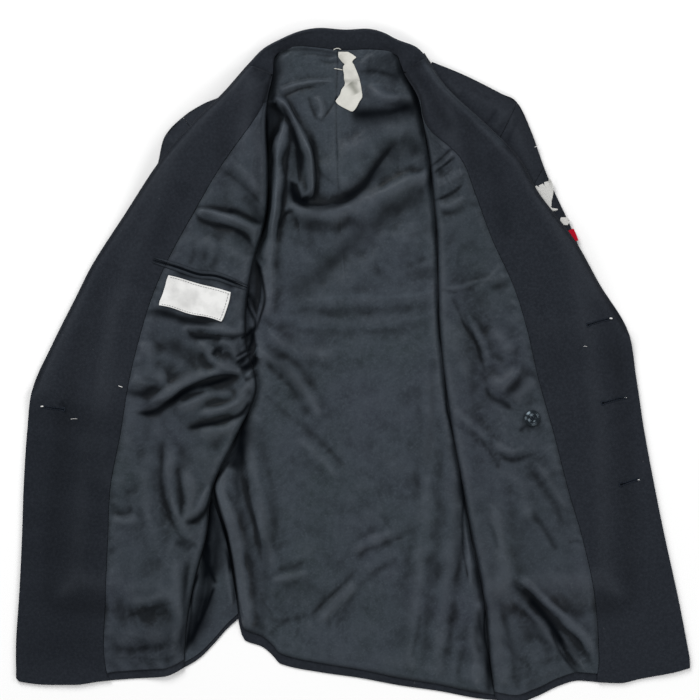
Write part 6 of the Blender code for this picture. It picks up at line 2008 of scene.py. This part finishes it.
def make_neck_label(back_right, back_left, white):
    """The torn, bare neck label, with the ends of its sewing thread."""
    ground = Ground(back_right, back_left)
    heights, starts, ends = np.array(NECK_LABEL_OUTLINE).T
    at = np.linspace(heights[0], heights[-1], 64)
    first = np.array(chart(list(zip(np.interp(at, heights, starts), at))))
    last = np.array(chart(list(zip(np.interp(at, heights, ends), at))))
    plan = between(first, last, np.linspace(0, 1, 20))
    top = blurred(ground.crest(*xy(plan), 2.0), 3) + NECK_LABEL_LIFT
    loose = ramp((at - NECK_LABEL_LOOSE) / NECK_LABEL_LOOSE_RUN)[:, None]
    top += loose * NECK_LABEL_CURL * np.linspace(0.3, 1.0, 20)[None]
    top += 0.9 * (1 - ramp((at - NECK_LABEL_STEP) / 1.6))[:, None]
    top += 0.25 * ripple(*xy(plan), 83, 12, 30)
    # a stain, and painted shade under the tape's fold
    grid = cloth_grid(plan, top, dark=shaded(NECK_LABEL_STAINS_AND_SHADE, *xy(plan)))
    label = open_sheet("neck_tape", bordered(grid, 0.35, OPEN_TURN, 0.5), white)
    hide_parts("neck_label")
    threads = [tube_along(lying(ground, path_points(chart(path), 16), 0.9), LOOSE_THREAD_RADIUS)
               for path in LOOSE_THREADS]
    ends = joined("neck_threads", threads, white)


def make_badge(sleeve, wool, white, red):
    """The patch on the left sleeve: a fan of leaves, a disc and a bar, all embroidered."""
    ground = Ground(sleeve)
    levels = np.linspace(*BADGE_ROWS, 40)
    across = np.linspace(*BADGE_ACROSS, 26)
    plan = between(pairs(SLEEVE_LEFT, 0, levels), pairs(SLEEVE_LEFT, 2, levels), across)
    top = ground.crest(*xy(plan), 1.2) + BADGE_LIFT
    grid = bordered(cloth_grid(plan, top), 0.5, OPEN_TURN, 0.2)
    patch = open_sheet("badge_patch", grid, wool)
    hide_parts("sleeve_badge")
    on_patch = Ground(patch, sleeve)
    leaves = [pad(chart(path), widths, on_patch, 0.25, 0.55) for path, widths in BADGE_LEAVES]
    design = joined("badge_leaves", leaves, white)
    raised = pad(chart(BADGE_BAR), BADGE_BAR_WIDTHS, on_patch, 0.25, 0.6)
    bar = joined("badge_bar", [raised], red)


def lathe(profile, segments, centre, tilt=(0.0, 0.0)):
    """Points and faces turned about the vertical from (radius, height) rings."""
    points = []
    for radius, z in profile:
        for k in range(segments):
            angle = 2 * math.pi * k / segments
            x = radius * math.cos(angle)
            y = radius * math.sin(angle)
            points.append((centre[0] + x, centre[1] + y, centre[2] + z + x * tilt[0] + y * tilt[1]))
    return points, ring_faces(len(profile), segments)


def rounded(profile, steps):
    """A profile with its corners smoothed."""
    return [tuple(point) for point in path_points(profile, steps)]


def make_inner_button(left_facing, left_lining, black, dark_thread):
    """The inside button: a dished, glossy disc with four holes and crossed thread."""
    ground = Ground(left_facing, left_lining)
    x, y = INNER_BUTTON
    radius = INNER_BUTTON_DIAMETER / 2
    seat = float(ground.crest(np.array([x]), np.array([y]), radius * 0.8)[0]) + 0.1
    body = rounded([(0.2, 0.0)] + [(share * radius, z) for share, z in INNER_BUTTON_SHAPE], 56)
    turned = lathe(body, 72, (x, y, seat), BUTTON_TILT)
    disc = joined("inner_button_disc", [turned], black)
    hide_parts("inner_button")
    rim = [(THREAD_HOLE / 2 + out, z) for out, z in THREAD_HOLE_RIM] + [(0.05, 0.0)]
    holes = []
    spots = []
    for k in range(4):
        angle = math.pi / 4 + k * math.pi / 2
        spot = (x + THREAD_SPREAD * math.cos(angle), y + THREAD_SPREAD * math.sin(angle))
        lean = (spot[0] - x) * BUTTON_TILT[0] + (spot[1] - y) * BUTTON_TILT[1]
        holes.append(lathe(rim, 20, (*spot, seat + THREAD_HOLE_HEIGHT + lean)))
        spots.append(np.array(spot))
    joined("inner_button_holes", holes, black)
    threads = []
    for start, end, high in THREAD_CROSS:
        for shift in (-0.25, 0.25):
            a = spots[start]
            b = spots[end]
            line = np.array([a + (b - a) * t for t in np.linspace(0, 1, 10)]) + shift
            lift = seat + 2.2 + high * np.sin(np.linspace(0, math.pi, 10)) ** 0.7
            threads.append(tube_along(np.column_stack([line, lift]), BUTTON_THREAD_RADIUS))
    joined("inner_button_thread", threads, dark_thread)


def make_outer_buttons(black):
    """The outer buttons lying beneath the right front."""
    radius = OUTER_BUTTON_DIAMETER / 2
    high = OUTER_BUTTON_THICKNESS
    body = rounded([(0.3, 0.0), (0.8 * radius, 0.2), (radius, 0.4 * high), (radius, 0.75 * high),
                    (0.92 * radius, 0.97 * high), (0.5 * radius, high), (0.3, high)], 30)
    for k, (x, y) in enumerate(OUTER_BUTTONS):
        low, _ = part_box("outer_button_%d" % (k + 1))
        turned = lathe(body, 48, (x, y, low[2] / MM))
        button = joined("hidden_button_%d" % (k + 1), [turned], black)
        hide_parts("outer_button_%d" % (k + 1))


def make_buttonhole(name, path, ground, dark_thread, wool):
    """A worked buttonhole: a slit between two rows of close stitches, barred at its ends."""
    line = path_points(chart(path), HOLE_STITCHES)
    ahead, across = directions(line)
    draw = np.random.default_rng(len(name) + int(abs(line[0, 0])))
    stitches = []
    for side in (-1.0, 1.0):
        for k in range(HOLE_STITCHES):
            eye = HOLE_EYE * math.exp(-(((k - 4) / 5.0) ** 2))
            far = HOLE_STITCH_END + eye + draw.uniform(-0.15, 0.15)
            spread = np.linspace(HOLE_STITCH_START + eye, far, 5)
            place = line[k] + across[k] * (side * spread)[:, None] + ahead[k] * draw.uniform(-0.1, 0.1)
            stitches.append(tube_along(lying(ground, place, np.array(HOLE_STITCH_ARCH)), 0.27, 5))
    for k in (0, HOLE_STITCHES - 1):
        for shift in (-0.4, 0.0, 0.4):
            spread = np.linspace(-HOLE_BAR, HOLE_BAR, 7)
            place = line[k] + across[k] * spread[:, None] + ahead[k] * shift
            stitches.append(tube_along(lying(ground, place, 0.45), 0.28, 5))
    joined(name, stitches, dark_thread)
    # a strip in the slit, painted black for the shade in the opening
    slit = strip(line[1:-1:6], HOLE_SLIT_HALF_WIDTHS, ground, 0.06, 0.0, 40, 3, dark=1.0)
    open_sheet(name + "_slit", slit, wool)


def make_thread_ends(grounds, white):
    """Short ends of white thread left in the cloth."""
    parts = [tube_along(lying(ground, path_points(chart(path), 12), 0.8 * radius), radius, 7)
             for ground, path, radius in grounds]
    joined("thread_ends", parts, white)


# -------------------------------------------------------------------- camera and lights


def area_light(name, energy, size, place):
    """A softbox aimed at the middle of the tunic."""
    lamp = bpy.data.lights.new(name, "AREA")
    lamp.energy = energy
    lamp.size = size
    thing = placed(name, lamp)
    thing.location = place
    thing.rotation_euler = (-Vector(place)).to_track_quat("-Z", "Y").to_euler()


def make_stage():
    """Backdrop, camera straight above, and soft studio light."""
    mesh = bpy.data.meshes.new("backdrop")
    half = BACKDROP / 2
    corners = ((-half, -half), (half, -half), (half, half), (-half, half))
    mesh.from_pydata([(*corner, -BACKDROP_DROP) for corner in corners], [], [(0, 1, 2, 3)])
    mesh.materials.append(floor_material())
    floor = placed("backdrop", mesh)

    lens = bpy.data.cameras.new("camera")
    lens.sensor_width = SENSOR
    lens.lens = SENSOR * CAMERA_HEIGHT / CAMERA_FRAME
    lens.clip_end = 20.0
    camera = placed("camera", lens)
    camera.location = (*CAMERA_PLACE, CAMERA_HEIGHT)
    bpy.context.scene.camera = camera

    world = bpy.data.worlds.new("studio")
    world.use_nodes = True
    background = world.node_tree.nodes["Background"]
    background.inputs["Color"].default_value = (1.0, 1.0, 1.0, 1.0)
    background.inputs["Strength"].default_value = AMBIENT
    bpy.context.scene.world = world
    for light in LIGHTS:
        area_light(*light)
    bpy.context.scene.view_settings.view_transform = "Standard"


def main():
    """Build every piece, then the stage."""
    wool = wool_material("navy_wool")
    lining = lining_material()
    white = tape_material("white_tape", WHITE_TAPE)
    soiled = tape_material("neck_tape", NECK_TAPE)
    dark_thread = thread_material("dark_thread", DARK_THREAD, 0.6, 0.12, 0.05)
    white_floss = thread_material("white_floss", WHITE_FLOSS)
    red_floss = thread_material("red_floss", RED_FLOSS, 0.8, 0.10, 0.0)
    patch = wool_material("badge_cloth")
    black = button_material()

    make_back_outer(wool)
    sleeve = {}
    front = {}
    for name, side in SIDES.items():
        sleeve[name] = make_sleeve(name, side, wool)
        make_shoulder(name, side, wool)
        front[name] = make_front(name, side, wool, lining)
        make_lapel(name, side, wool)
    back_right, back_left = make_back_lining(lining)
    make_side_body(wool, lining)
    make_collar(wool)
    make_welts(*front["right"], lining)
    make_name_label(*front["right"], white, dark_thread)
    make_neck_label(back_right, back_left, soiled)
    make_badge(sleeve["left"], patch, white_floss, red_floss)
    make_inner_button(*front["left"], black, dark_thread)
    make_outer_buttons(black)
    right = Ground(*front["right"])
    left = Ground(*front["left"], sleeve["left"])
    for number, path in enumerate(LEFT_HOLES):
        make_buttonhole("buttonhole_left_%d" % (number + 1), path, left, dark_thread, wool)
    make_buttonhole("buttonhole_right_1", RIGHT_HOLE, right, dark_thread, wool)
    middle = CHART_ORIGIN[0]
    make_thread_ends([(left if path[0][0] > middle else right, path, radius)
                      for path, radius in THREAD_ENDS], white)
    make_stage()


main()
